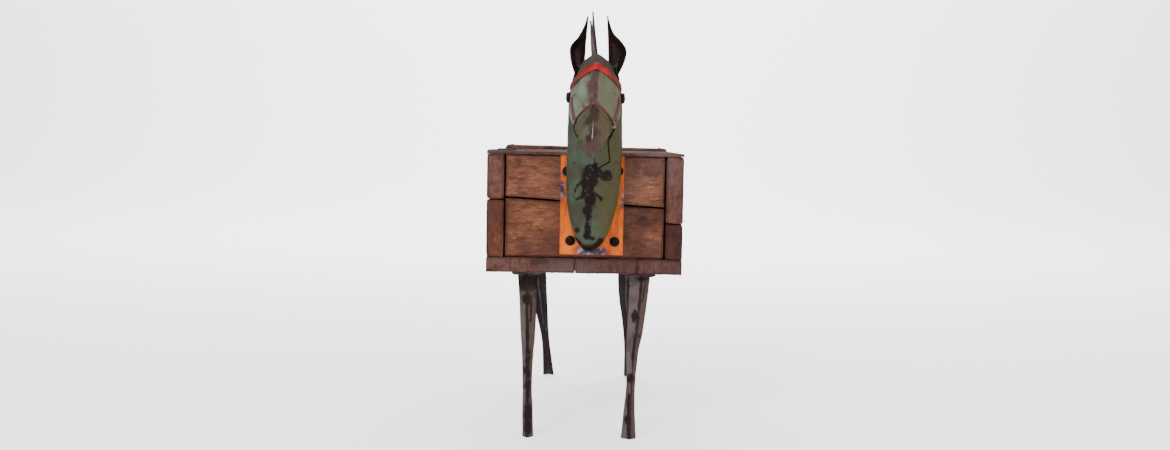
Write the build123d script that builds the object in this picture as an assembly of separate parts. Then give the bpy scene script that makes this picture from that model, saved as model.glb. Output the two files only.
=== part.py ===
"""Folk-art horse coin bank: a plank chest on four folded sheet-steel legs, with a sheet-steel neck and head.

Row frame, in millimetres: +Z up, the horse faces -Y, and +X is on the right of someone looking at its face.
The origin is on the floor, under the middle of the whole figure.
"""

import os
from math import cos, hypot, radians, sin

from build123d import *

# ---- driving dimensions: the chest -------------------------------------------------------------
CHEST_W = 280.0
FRONT_Y = -150.0
REAR_Y = 250.0
BOTTOM_Z = 231.0
BOTTOM_T = 22.0
WALL_TOP_Z = 399.5
SIDE_T = 25.0
END_T = 20.0
END_RECESS = 2.5
END_GAP_LEFT = 1.8
END_GAP_RIGHT = 2.0
PLANK_GAP = 1.5
SEAM_LEFT_Z = 338.5
SEAM_RIGHT_Z = 326.0
SIDE_SEAM_LEFT_Z = 335.0
SIDE_SEAM_RIGHT_Z = 304.0
BOTTOM_SEAMS_X = (-12.0, 75.0)
BATTEN = 16.0
BOTTOM_NAIL_XS = (-45.0, 20.0, 108.0)
BOTTOM_NAIL_INSET = 60.0

# ---- driving dimensions: the lid ---------------------------------------------------------------
LID_LIP_T = 4.0
LID_PLUG_T = 8.0
LID_PLUG_CLEARANCE = 1.5
LID_FRONT_SETBACK = 1.5
LID_SEAM_X = 6.0
TAIL_RAIL_D = 25.0
TAIL_RAIL_LEFT_Z = 411.0
TAIL_RAIL_RIGHT_Z = 408.5
SLOT_L = 48.0
SLOT_W = 6.0
SLOT_Y = 40.0
CLEAT_W = 22.0
CLEAT_T = 12.0
CLEAT_INSET = 72.5
CLEAT_END_GAP = 8.0

# ---- driving dimensions: fasteners -------------------------------------------------------------
BOLT_R = 3.0
BOLT_HEAD_R = 7.0
BOLT_HEAD_H = 3.6
NUT_AF = 10.0
NUT_H = 5.0
NUT_TURN = 15.0
BOLT_END = 3.0
WASHER_R = 9.0
WASHER_T = 1.6
NAIL_R = 1.4
NAIL_HEAD_R = 3.2
NAIL_HEAD_H = 1.0
WALL_NAIL_L = 38.0
BOTTOM_NAIL_L = 45.0
LID_NAIL_L = 22.0
WALL_NAIL_ZS = (268.0, 290.0, 318.0, 350.0, 378.0)
LID_NAIL_XS = (-88.0, -22.0, 34.0, 92.0)
SCREW_R = 1.8
SCREW_HEAD_R = 3.6
SCREW_HEAD_H = 1.8
WALL_SCREW_L = 16.0
FLAP_SCREW_L = 5.0
FLANGE_SCREW_L = 18.0

# ---- driving dimensions: neck and head ---------------------------------------------------------
HEAD_X = 12.0
SHEET_T = 1.5
PLATE_T = 1.5
PLATE_W = 90.0
PLATE_BOTTOM_Z = 258.5
PLATE_TOP_Z = 399.0
PLATE_MIDDLE_X = 10.0
PLATE_BOLTS = ((-20.0, 278.0), (43.0, 277.5), (-25.5, 377.0), (47.0, 378.0))
HEAD_LEAN = 48.0
JOINT_LOW = (80.0, 424.0)
JOINT_HIGH = (40.0, 541.0)

LEFT_X = -CHEST_W / 2
RIGHT_X = CHEST_W / 2
INNER_LEFT_X = LEFT_X + SIDE_T
INNER_RIGHT_X = RIGHT_X - SIDE_T
SIDE_BOTTOM_Z = BOTTOM_Z + BOTTOM_T
LID_TOP_Z = WALL_TOP_Z + LID_LIP_T
LID_PLUG_Z = WALL_TOP_Z - LID_PLUG_T
LID_FRONT_Y = FRONT_Y + LID_FRONT_SETBACK
LID_REAR_Y = REAR_Y - TAIL_RAIL_D - 1.0
PANEL_FRONT_Y = FRONT_Y + END_RECESS
PLATE_FRONT_Y = PANEL_FRONT_Y - PLATE_T
PARTS = {}


# ---- small helpers -----------------------------------------------------------------------------
def block(x, y, z):
    """A box between three pairs of limits."""
    size = (x[1] - x[0], y[1] - y[0], z[1] - z[0])
    return Pos(sum(x) / 2, sum(y) / 2, sum(z) / 2) * Box(*size)


def rod(start, direction, radius, length):
    """A round bar that starts at a point and runs along a direction."""
    plane = Plane(origin=start, z_dir=direction)
    return plane * Cylinder(radius, length, align=(Align.CENTER, Align.CENTER, Align.MIN))


def fastener(point, inward, head_r, head_h, shank_r, shank_l):
    """A domed head and its shank, as one turned solid. inward points into the wood."""
    outline = Polyline(
        (0, -head_h), (0.4 * head_r, -head_h), (0.78 * head_r, -0.72 * head_h), (head_r, -0.25 * head_h),
        (head_r, 0), (shank_r, 0), (shank_r, shank_l), (0, shank_l), close=True,
    )
    turned = revolve(Plane.XZ * make_face(outline.edges()), Axis.Z)
    return Plane(origin=point, z_dir=inward) * turned


def shank(point, inward, shank_r, shank_l):
    """The hole that a fastener's shank fills."""
    return rod(point, inward, shank_r, shank_l)


def keep(name, *solids):
    """Files a node under its name."""
    PARTS[name] = solids[0] if len(solids) == 1 else Compound(children=list(solids))


def drill(names, holes):
    """Takes the same holes out of several nodes."""
    for name in names:
        body = PARTS[name]
        for hole in holes:
            body = body - hole
        PARTS[name] = body


# ---- the chest ---------------------------------------------------------------------------------
def end_boards(y0, y1):
    """The two boards of one end, parted by a seam that runs down to the right."""
    x0 = INNER_LEFT_X + END_GAP_LEFT
    x1 = INNER_RIGHT_X - END_GAP_RIGHT
    half_gap = PLANK_GAP / 2

    def board(corners):
        face = make_face(Polyline(*corners, close=True).edges())
        return Pos(0, y0, 0) * extrude(Plane.XZ * face, y1 - y0, dir=(0, 1, 0))

    lower = board([
        (x0, SIDE_BOTTOM_Z), (x1, SIDE_BOTTOM_Z),
        (x1, SEAM_RIGHT_Z - half_gap), (x0, SEAM_LEFT_Z - half_gap),
    ])
    upper = board([
        (x0, SEAM_LEFT_Z + half_gap), (x1, SEAM_RIGHT_Z + half_gap),
        (x1, WALL_TOP_Z), (x0, WALL_TOP_Z),
    ])
    return lower, upper


def chest():
    """Bottom, side and end boards, the corner battens and the raised tail rail."""
    edges = (LEFT_X, *BOTTOM_SEAMS_X, RIGHT_X)
    for name, x0, x1 in zip(("left", "middle", "right"), edges, edges[1:]):
        span = (x0 if x0 == LEFT_X else x0 + 0.5, x1 if x1 == RIGHT_X else x1 - 0.5)
        keep(f"bottom_board_{name}", block(span, (FRONT_Y, REAR_Y), (BOTTOM_Z, SIDE_BOTTOM_Z)))
    long_y = (FRONT_Y, REAR_Y)
    for name, x, seam in (
        ("left", (LEFT_X, INNER_LEFT_X), SIDE_SEAM_LEFT_Z),
        ("right", (INNER_RIGHT_X, RIGHT_X), SIDE_SEAM_RIGHT_Z),
    ):
        keep(f"side_board_{name}_lower", block(x, long_y, (SIDE_BOTTOM_Z, seam - 0.4)))
        keep(f"side_board_{name}_upper", block(x, long_y, (seam + 0.4, WALL_TOP_Z)))
    for name, y0 in (("front", PANEL_FRONT_Y), ("rear", REAR_Y - END_RECESS - END_T)):
        lower, upper = end_boards(y0, y0 + END_T)
        keep(f"{name}_board_lower", lower)
        keep(f"{name}_board_upper", upper)
    rail = Polyline(
        (LEFT_X, WALL_TOP_Z), (RIGHT_X, WALL_TOP_Z),
        (RIGHT_X, TAIL_RAIL_RIGHT_Z), (LEFT_X, TAIL_RAIL_LEFT_Z), close=True,
    )
    rail_end = Plane.XZ * make_face(rail.edges())
    rail_y = REAR_Y - TAIL_RAIL_D
    keep("tail_rail", Pos(0, rail_y, 0) * extrude(rail_end, TAIL_RAIL_D, dir=(0, 1, 0)))
    posts = []
    for x in (INNER_LEFT_X, INNER_RIGHT_X - BATTEN):
        for y in (PANEL_FRONT_Y + END_T, REAR_Y - END_RECESS - END_T - BATTEN):
            posts.append(block((x, x + BATTEN), (y, y + BATTEN), (SIDE_BOTTOM_Z, LID_PLUG_Z - 14)))
    keep("corner_battens", *posts)


def chest_nails():
    """Wrought nails: side boards to battens, bottom boards to sides and ends, tail rail to sides."""
    spots = []
    batten_ys = (PANEL_FRONT_Y + END_T + BATTEN / 2, REAR_Y - END_RECESS - END_T - BATTEN / 2)
    for y in batten_ys:
        for z in WALL_NAIL_ZS:
            spots.append(((LEFT_X, y, z), (1, 0, 0), WALL_NAIL_L))
            spots.append(((RIGHT_X, y, z + NAIL_HEAD_R), (-1, 0, 0), WALL_NAIL_L))
    for y in (FRONT_Y + BOTTOM_NAIL_INSET, (FRONT_Y + REAR_Y) / 2, REAR_Y - BOTTOM_NAIL_INSET):
        spots.append(((LEFT_X + SIDE_T / 2, y, BOTTOM_Z), (0, 0, 1), BOTTOM_NAIL_L))
        spots.append(((RIGHT_X - SIDE_T / 2, y, BOTTOM_Z), (0, 0, 1), BOTTOM_NAIL_L))
    for y in (FRONT_Y + END_RECESS + END_T / 2, REAR_Y - END_RECESS - END_T / 2):
        for x in BOTTOM_NAIL_XS:
            spots.append(((x, y, BOTTOM_Z), (0, 0, 1), BOTTOM_NAIL_L))
    rail_z = (TAIL_RAIL_LEFT_Z + TAIL_RAIL_RIGHT_Z) / 2
    for x in (LEFT_X + SIDE_T / 2, RIGHT_X - SIDE_T / 2):
        top = rail_z - (x / CHEST_W) * (TAIL_RAIL_LEFT_Z - TAIL_RAIL_RIGHT_Z) + 0.1
        spots.append(((x, REAR_Y - TAIL_RAIL_D / 2, top), (0, 0, -1), WALL_NAIL_L))
    nails = [fastener(p, d, NAIL_HEAD_R, NAIL_HEAD_H, NAIL_R, l) for p, d, l in spots]
    keep("chest_nails", *nails)
    wood = [n for n in PARTS if "board" in n or n in ("tail_rail", "corner_battens")]
    for name in wood:
        box = PARTS[name].bounding_box()
        near = [
            shank(p, d, NAIL_R, l)
            for p, d, l in spots
            if box.min.X - l < p[0] < box.max.X + l
            and box.min.Y - 2 < p[1] < box.max.Y + 2
            and box.min.Z - l < p[2] < box.max.Z + l
        ]
        drill([name], near)


def lid():
    """Two planks, rebated so that a thin lip lies on the walls, with two cleats under them."""
    plug_x = (INNER_LEFT_X + LID_PLUG_CLEARANCE, INNER_RIGHT_X - LID_PLUG_CLEARANCE)
    plug_y = (PANEL_FRONT_Y + END_T + LID_PLUG_CLEARANCE, LID_REAR_Y - 1.0)
    lip = block((LEFT_X, RIGHT_X), (LID_FRONT_Y, LID_REAR_Y), (WALL_TOP_Z, LID_TOP_Z))
    whole = lip + block(plug_x, plug_y, (LID_PLUG_Z, WALL_TOP_Z))
    slot = block(
        (LID_SEAM_X - SLOT_L / 2, LID_SEAM_X + SLOT_L / 2),
        (SLOT_Y - SLOT_W / 2, SLOT_Y + SLOT_W / 2), (LID_PLUG_Z - 1, LID_TOP_Z + 1),
    )
    whole = whole - slot
    tall = (LID_PLUG_Z - 1, LID_TOP_Z + 1)
    long = (LID_FRONT_Y - 1, LID_REAR_Y + 1)
    keep("lid_board_left", whole & block((LEFT_X - 1, LID_SEAM_X - 0.3), long, tall))
    keep("lid_board_right", whole & block((LID_SEAM_X + 0.3, RIGHT_X + 1), long, tall))
    spots = []
    for name, y in (("front", FRONT_Y + CLEAT_INSET), ("rear", REAR_Y - CLEAT_INSET)):
        cleat_x = (plug_x[0] + CLEAT_END_GAP, plug_x[1] - CLEAT_END_GAP)
        cleat_y = (y - CLEAT_W / 2, y + CLEAT_W / 2)
        cleat = block(cleat_x, cleat_y, (LID_PLUG_Z - CLEAT_T, LID_PLUG_Z))
        keep(f"lid_cleat_{name}", cleat)
        for x in LID_NAIL_XS:
            spots.append(((x, y, LID_TOP_Z), (0, 0, -1), LID_NAIL_L))
    nails = [fastener(p, d, NAIL_HEAD_R, NAIL_HEAD_H, NAIL_R, l) for p, d, l in spots]
    keep("lid_nails", *nails)
    drill(
        ["lid_board_left", "lid_board_right", "lid_cleat_front", "lid_cleat_rear"],
        [shank(p, d, NAIL_R, l) for p, d, l in spots],
    )


# ---- lid hinges --------------------------------------------------------------------------------
HINGE_X = LEFT_X - 3.2
HINGE_Z = WALL_TOP_Z + 2.4
HINGE_R = 3.0
HINGE_PIN_R = 1.5
HINGE_YS = (FRONT_Y + 105.0, REAR_Y - 105.0)
HINGE_L = 42.0
LEAF_T = 1.4
LEAF_REACH = 34.0
LEAF_SCREW_IN = 22.0
LEAF_SCREW_APART = 24.0
PIN_HEAD_R = 2.3
PIN_HEAD_T = 1.0
KNUCKLE_GAP = 0.3


def along_y(x, z, radius, y0, y1):
    """A round bar along Y."""
    return rod((x, y0, z), (0, 1, 0), radius, y1 - y0)


def knuckle_spans(y_mid, length):
    """Limits of the outer pair and of the middle knuckle."""
    a = y_mid - length / 2
    third = length / 3
    outer = ((a, a + third - KNUCKLE_GAP), (a + 2 * third + KNUCKLE_GAP, a + length))
    return outer, (a + third, a + 2 * third)


def lid_hinges():
    """Two butt hinges: one leaf on the side wall, one on top of the lid, and a headed pin."""
    wall_leaves, lid_leaves, pins, screws = [], [], [], []
    for y in HINGE_YS:
        outer, middle = knuckle_spans(y, HINGE_L)
        bore = along_y(HINGE_X, HINGE_Z, HINGE_PIN_R + 0.05, y - HINGE_L, y + HINGE_L)
        full = (y - HINGE_L / 2, y + HINGE_L / 2)
        leaf = block((LEFT_X - LEAF_T, LEFT_X), full, (WALL_TOP_Z - LEAF_REACH, HINGE_Z - 3.4))
        for span in outer:
            leaf = leaf + block((LEFT_X - LEAF_T, LEFT_X - 0.2), span, (HINGE_Z - 3.5, HINGE_Z))
            leaf = leaf + along_y(HINGE_X, HINGE_Z, HINGE_R, *span)
        top_z = HINGE_Z + HINGE_R
        flap = block((LEFT_X + 1.2, LEFT_X + LEAF_REACH), full, (LID_TOP_Z, top_z))
        flap = flap + block((HINGE_X, LEFT_X + 1.3), middle, (LID_TOP_Z, top_z))
        flap = flap + along_y(HINGE_X, HINGE_Z, HINGE_R, *middle)
        pair_y = (y - LEAF_SCREW_APART / 2, y + LEAF_SCREW_APART / 2)
        spots = [((LEFT_X - LEAF_T, at, WALL_TOP_Z - LEAF_SCREW_IN), (1, 0, 0)) for at in pair_y]
        spots += [((LEFT_X + LEAF_SCREW_IN, at, top_z), (0, 0, -1)) for at in pair_y]
        lengths = (WALL_SCREW_L, WALL_SCREW_L, FLAP_SCREW_L, FLAP_SCREW_L)
        holes = [shank(p, d, SCREW_R, l) for (p, d), l in zip(spots, lengths)]
        screws += [
            fastener(p, d, SCREW_HEAD_R, SCREW_HEAD_H, SCREW_R, l)
            for (p, d), l in zip(spots, lengths)
        ]
        wall_leaves.append(leaf - bore - holes[0] - holes[1])
        lid_leaves.append(flap - bore - holes[2] - holes[3])
        pin = along_y(HINGE_X, HINGE_Z, HINGE_PIN_R, *full)
        for y0, y1 in ((full[0] - PIN_HEAD_T, full[0]), (full[1], full[1] + PIN_HEAD_T)):
            pin = pin + along_y(HINGE_X, HINGE_Z, PIN_HEAD_R, y0, y1)
        pins.append(pin)
        drill(["side_board_left_upper"], holes[:2])
        drill(["lid_board_left"], holes[2:])
    keep("hinge_wall_leaves", *wall_leaves)
    keep("hinge_lid_leaves", *lid_leaves)
    keep("hinge_pins", *pins)
    keep("hinge_wall_screws", *[s for i, s in enumerate(screws) if i % 4 < 2])
    keep("hinge_lid_screws", *[s for i, s in enumerate(screws) if i % 4 > 1])


# ---- base plates and through bolts -------------------------------------------------------------
BOLTS = []
WASHERS = []
NUTS = []


def through_bolts(spots, head_y, inner_y, outward):
    """Mushroom-head bolts with a square nut and a washer on the inside of the chest."""
    holes = []
    reach = abs(inner_y - head_y) + WASHER_T + NUT_H + BOLT_END
    inward = -outward
    for x, z in spots:
        start = (x, head_y, z)
        BOLTS.append(fastener(start, (0, inward, 0), BOLT_HEAD_R, BOLT_HEAD_H, BOLT_R, reach))
        holes.append(shank(start, (0, inward, 0), BOLT_R, reach))
        washer = rod((x, inner_y, z), (0, inward, 0), WASHER_R, WASHER_T)
        nut_y = inner_y + inward * (WASHER_T + NUT_H / 2)
        nut = Pos(x, nut_y, z) * Rot(0, NUT_TURN, 0) * Box(NUT_AF, NUT_H, NUT_AF)
        WASHERS.append(washer - holes[-1])
        NUTS.append(nut - holes[-1])
    return holes


def neck_mounting():
    """The painted plate on the front boards, with its four bolts."""
    plate = block(
        (PLATE_MIDDLE_X - PLATE_W / 2, PLATE_MIDDLE_X + PLATE_W / 2),
        (PLATE_FRONT_Y, PANEL_FRONT_Y), (PLATE_BOTTOM_Z, PLATE_TOP_Z),
    )
    holes = through_bolts(PLATE_BOLTS, PLATE_FRONT_Y, PANEL_FRONT_Y + END_T, -1)
    keep("neck_plate", plate)
    drill(["neck_plate", "front_board_lower", "front_board_upper"], holes)


# ---- neck and head shells ----------------------------------------------------------------------
# Neck stations: height, keel, widest place, half width, back, half width at the back, and how far the section
# stands aside. Keel, widest place and back are distances in front of the chest's front face.
NECK_STATIONS = (
    (264.0, 8.0, 3.0, 5.5, -0.9, 4.0, -5.0),
    (269.0, 17.0, 6.0, 12.0, -0.9, 7.0, -4.4),
    (279.0, 28.0, 10.0, 20.0, -0.9, 10.0, -3.8),
    (300.0, 43.0, 19.0, 28.2, -0.9, 16.0, -3.0),
    (327.0, 57.0, 28.0, 34.2, -0.9, 21.0, -2.1),
    (362.0, 68.0, 33.0, 38.0, -0.9, 22.0, -0.8),
    (398.0, 74.0, 37.0, 39.0, -0.9, 19.0, 0.0),
    (400.0, 74.2, 37.2, 39.0, 2.2, 16.0, 0.0),
    (414.0, 75.0, 38.5, 38.8, 2.6, 0.1, 0.0),
    (440.0, 76.0, 41.0, 38.0, 6.0, 0.1, 0.0),
    (478.0, 78.0, 46.0, 37.0, 14.0, 0.1, 0.0),
    (512.0, 80.0, 52.0, 31.0, 27.0, 0.1, 0.0),
    (546.0, 82.0, 60.0, 20.0, 41.0, 0.1, 0.0),
)
# Head stations: place of the face ridge (forward, height), half width, its depth, whole depth, and how far
# the section stands aside of the neck's middle.
HEAD_STATIONS = (
    (61.0, 539.5, 26.0, 32.0, 70.0, 0.0),
    (80.0, 519.5, 34.0, 42.0, 98.0, 0.0),
    (97.0, 494.0, 35.5, 46.0, 83.5, -0.6),
    (107.0, 478.0, 30.5, 42.0, 73.5, -1.3),
    (115.0, 465.0, 25.0, 35.0, 65.0, -2.0),
    (124.0, 448.0, 20.5, 27.0, 51.0, -3.0),
    (133.0, 431.0, 14.5, 20.0, 38.0, -4.0),
    (140.0, 417.0, 8.5, 13.0, 26.0, -4.8),
    (145.0, 407.0, 3.0, 6.0, 14.0, -5.4),
)
NOSE_CUT = (114.0, 467.0, 56.0)
BROW_CUT = (79.5, 520.0, 48.0)
BROW_BAND_W = 8.5
NOSE_BAND_W = 5.0
BAND_T = 1.4
JAW_HALF_W = 1.5
SEAM_GAP = 0.03
FAR = 900.0
BAND_GAP = 0.04
STRAP_TOP = (67.0, 478.0)
STRAP_FOOT = (87.5, 448.0)
STRAP_W = 6.0


def leaf_points(side, back, offset):
    """Half outline (across, depth), moved out by offset: from the ridge past the widest place to the back."""
    (w, m), (wb, d) = side, back
    points = [
        (0.0, 0.0), (0.34 * w, 0.2 * m), (0.63 * w, 0.43 * m), (0.87 * w, 0.71 * m), (w, m),
        (wb + 0.9 * (w - wb), m + 0.38 * (d - m)), (wb + 0.58 * (w - wb), m + 0.72 * (d - m)), (wb, d),
    ]
    moved = []
    for i, (u, v) in enumerate(points):
        before, after = points[max(i - 1, 0)], points[min(i + 1, len(points) - 1)]
        du, dv = after[0] - before[0], after[1] - before[1]
        size = hypot(du, dv)
        moved.append((u + offset * dv / size, v - offset * du / size))
    moved[0] = (SEAM_GAP, -1.6 * offset)
    moved[-1] = (max(wb + offset, 0.4), d + offset)
    return moved


def half_shell(sections, side, outside, inside):
    """One half of a sheet-metal form, lofted through (plane, widest, back) sections."""
    wires = []
    for plane, widest, back in sections:
        outer = [(side * u, v) for u, v in leaf_points(widest, back, outside)]
        inner = [(side * u, v) for u, v in leaf_points(widest, back, inside)]
        strip = Polyline(*outer, *reversed(inner), close=True)
        wires.append(plane * Wire(strip.edges()))
    return Solid.make_loft(wires, True)


def full_form(sections):
    """The solid form inside the outer face of a pair of half shells."""
    wires = []
    for plane, widest, back in sections:
        right = leaf_points(widest, back, 0.0)
        left = [(-u, v) for u, v in reversed(right)]
        wires.append(plane * Wire(Polyline(*right, *left, close=True).edges()))
    return Solid.make_loft(wires, True)


def neck_sections():
    """Horizontal sections up the neck."""
    found = []
    for z, keel, mid, w, back, wb, aside in NECK_STATIONS:
        plane = Plane(origin=(HEAD_X + aside, FRONT_Y - keel, z), x_dir=(1, 0, 0), z_dir=(0, 0, 1))
        found.append((plane, (w, keel - mid), (wb, keel - back)))
    return found


def head_plane(forward, height, lean_degrees=HEAD_LEAN, aside=0.0):
    """A plane across the head: its local y runs from the face ridge back and down to the jaw."""
    lean = radians(lean_degrees)
    origin = (HEAD_X + aside, FRONT_Y - forward, height)
    return Plane(origin=origin, x_dir=(1, 0, 0), z_dir=(0, sin(lean), cos(lean)))


def head_sections():
    """Sections across the head, from the poll to the tip of the nose."""
    found = []
    for forward, z, w, m, d, aside in HEAD_STATIONS:
        found.append((head_plane(forward, z, HEAD_LEAN, aside), (w, m), (JAW_HALF_W, d)))
    return found


def half_space(origin, normal):
    """A big block on the side of a plane that its normal points to."""
    plane = Plane(origin=origin, z_dir=normal)
    return plane * Box(FAR, FAR, FAR, align=(Align.CENTER, Align.CENTER, Align.MIN))


def joint_halves():
    """Everything in front of, and behind, the sloping plane where the head is welded to the neck."""
    origin = (HEAD_X, FRONT_Y - JOINT_LOW[0], JOINT_LOW[1])
    rise, run = JOINT_HIGH[1] - JOINT_LOW[1], JOINT_LOW[0] - JOINT_HIGH[0]
    return half_space(origin, (0, -rise, run)), half_space(origin, (0, rise, -run))


def head_slab(cut, start, width):
    """A slab across the head that starts some way above a cut and is so wide."""
    plane = head_plane(*cut)
    middle = plane.origin + plane.z_dir * (start + width / 2)
    return Plane(origin=middle, x_dir=(1, 0, 0), z_dir=plane.z_dir) * Box(FAR, FAR, width)


def strap_slab():
    """A slab along the cheek, through both sides of the head."""
    run = Vector(0, STRAP_TOP[0] - STRAP_FOOT[0], STRAP_FOOT[1] - STRAP_TOP[1])
    middle = (HEAD_X, FRONT_Y - (STRAP_TOP[0] + STRAP_FOOT[0]) / 2, (STRAP_TOP[1] + STRAP_FOOT[1]) / 2)
    return Plane(origin=middle, x_dir=(1, 0, 0), z_dir=run) * Box(FAR, STRAP_W, run.length)


def neck_and_head():
    """Neck, face and muzzle halves, the cap that closes the poll, and the bridle's bands and straps."""
    front_side, back_side = joint_halves()
    poll = head_plane(*HEAD_STATIONS[0][:2])
    below_poll = half_space(poll.origin - poll.z_dir * SHEET_T, tuple(-poll.z_dir))
    cap_slab = head_slab(HEAD_STATIONS[0][:2], -SHEET_T, SHEET_T)
    behind = full_form(neck_sections()) & back_side & cap_slab
    before = full_form(head_sections()) & front_side & cap_slab
    keep("poll_cap", behind + before)
    nose = head_plane(*NOSE_CUT)
    above_nose = half_space(nose.origin, tuple(nose.z_dir))
    below_nose = half_space(nose.origin, tuple(-nose.z_dir))
    brow_slab = head_slab(BROW_CUT, -BROW_BAND_W / 2, BROW_BAND_W)
    nose_slab = head_slab(NOSE_CUT, 0.0, NOSE_BAND_W)
    bands = {"brow": [], "nose": []}
    for name, side in (("left", -1), ("right", 1)):
        neck = half_shell(neck_sections(), side, 0.0, -SHEET_T)
        keep(f"neck_{name}", neck & back_side & below_poll)
        head = half_shell(head_sections(), side, 0.0, -SHEET_T) & front_side & below_poll
        keep(f"face_{name}", head & above_nose)
        keep(f"muzzle_{name}", head & below_nose)
        raised = half_shell(head_sections(), side, BAND_T, BAND_GAP) & front_side
        bands["brow"].append(raised & brow_slab)
        bands["nose"].append(raised & nose_slab)
        keep(f"cheek_strap_{name}", (raised & strap_slab()) - brow_slab - nose_slab)
    for name, pair in bands.items():
        keep(f"{name}_band", pair[0] + pair[1])


# ---- eyes, ears, mane and rein -----------------------------------------------------------------
EYE_R = 7.5
EYE_H = 3.4
EYE_FORWARD = 46.0
EYE_Z = 479.0
EYE_OUT = 37.4
EAR_CUP_R = 15.0
EAR_T = 1.4
EAR_Y = FRONT_Y - 54.0
EAR_BLANK_L = 110.0
EAR_MIDDLE_Z = 550.0
# Ear outlines across and up: the inner edge from the base to the tip, then the outer edge back down.
EAR_OUTLINES = {
    "left": (
        -11.5,
        ((-4.0, 504.0), (-3.4, 528.0), (-1.6, 560.0), (0.9, 590.6)),
        (
            (-0.7, 590.0), (-4.6, 577.0), (-13.5, 561.0), (-22.5, 550.5),
            (-24.7, 540.5), (-21.5, 522.0), (-14.0, 504.0),
        ),
    ),
    "right": (
        38.5,
        ((28.5, 504.0), (28.3, 528.0), (27.2, 560.0), (25.2, 591.0)),
        (
            (26.8, 590.5), (29.5, 580.0), (35.5, 566.5), (46.5, 555.5),
            (53.3, 543.0), (49.5, 525.0), (39.0, 504.0),
        ),
    ),
}
# Mane leaf outlines: distance in front of the chest and height, from the rear foot over the tip.
MANE_OUTLINES = {
    "left": ((24.0, 498.0), (28.0, 545.0), (36.5, 585.0), (38.0, 584.5), (48.0, 552.0), (58.0, 520.0)),
    "right": ((7.0, 455.0), (11.0, 535.0), (24.5, 599.0), (26.0, 598.5), (37.0, 552.0), (46.0, 520.0)),
}
MANE_T = 1.4
MANE_SPLAY = {"left": 6.5, "right": 3.5}
MANE_TURN = 7.0
RIVET_SPOT = (33.0, FRONT_Y - 93.0, 439.5)
RIVET_R = 2.6
RIVET_L = 7.0
REIN_R = 1.0
REIN_PATH = (
    (39.0, FRONT_Y - 93.0, 439.5), (29.5, FRONT_Y - 93.0, 419.0), (32.5, FRONT_Y - 87.0, 392.7),
    (16.0, FRONT_Y - 72.0, 382.5),
)


def outside(body, forms):
    """What is left of a body outside the neck and head forms, without loose crumbs."""
    for form in forms:
        body = body - form
    return max(body.solids(), key=lambda s: s.volume)


def ear(centre_x, inner, outer):
    """A cupped leaf of sheet, open to the front."""
    tube = Cylinder(EAR_CUP_R, EAR_BLANK_L) - Cylinder(EAR_CUP_R - EAR_T, EAR_BLANK_L + 1)
    cup = Pos(centre_x, EAR_Y, EAR_MIDDLE_Z) * tube
    edges = [Spline(*inner), Line(inner[-1], outer[0]), Spline(*outer), Line(outer[-1], inner[0])]
    leaf = Pos(0, EAR_Y, 0) * extrude(Plane.XZ * make_face(edges), EAR_CUP_R, dir=(0, 1, 0))
    return cup & leaf


def mane_leaf(outline, splay, x):
    """A pointed leaf of sheet, standing on edge along the crest."""
    rear, front = outline[:3], outline[3:]
    edges = [Spline(*rear), Line(rear[-1], front[0]), Spline(*front), Line(front[-1], rear[0])]
    face = Plane(origin=(x, FRONT_Y, 0), x_dir=(0, -1, 0), z_dir=(-1, 0, 0)) * make_face(edges)
    leaf = extrude(face, MANE_T, dir=(-1, 0, 0))
    pivot = (x, FRONT_Y - (outline[0][0] + outline[-1][0]) / 2, outline[-1][1])
    return Pos(*pivot) * Rot(0, splay, 0) * Rot(0, 0, MANE_TURN) * Pos(*(-c for c in pivot)) * leaf


def trimmings():
    """Eyes, ears, the two mane leaves, the rein's rivet and the bent wire rein."""
    forms = [full_form(neck_sections()), full_form(head_sections())]
    for name, side in (("left", -1), ("right", 1)):
        outline = Polyline(
            (0, 0), (EYE_R, 0), (0.8 * EYE_R, 0.6 * EYE_H), (0.4 * EYE_R, EYE_H), (0, EYE_H), close=True
        )
        boss = revolve(Plane.XZ * make_face(outline.edges()), Axis.Z)
        spot = (HEAD_X + side * EYE_OUT, FRONT_Y - EYE_FORWARD, EYE_Z)
        keep(f"eye_{name}", Plane(origin=spot, z_dir=(side, 0, 0)) * boss)
    for name, (centre, inner, outer) in EAR_OUTLINES.items():
        keep(f"ear_{name}", outside(ear(centre, inner, outer), forms + [PARTS["brow_band"]]))
    for name, x in (("left", HEAD_X - 0.3), ("right", HEAD_X + 0.3 + MANE_T)):
        leaf = mane_leaf(MANE_OUTLINES[name], -MANE_SPLAY[name], x)
        keep(f"mane_{name}", outside(leaf, forms))
    rivet = rod(RIVET_SPOT, (1, 0, 0), RIVET_R, RIVET_L)
    path = FilletPolyline(*REIN_PATH, radius=4.0)
    wire = sweep(Plane(origin=path @ 0, z_dir=path % 0) * Circle(REIN_R), path=path)
    keep("rein_wire", outside(wire, forms))
    around = [PARTS[name] for name in ("rein_wire", "nose_band", "cheek_strap_right")]
    keep("rein_rivet", outside(rivet, forms + around))


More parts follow.
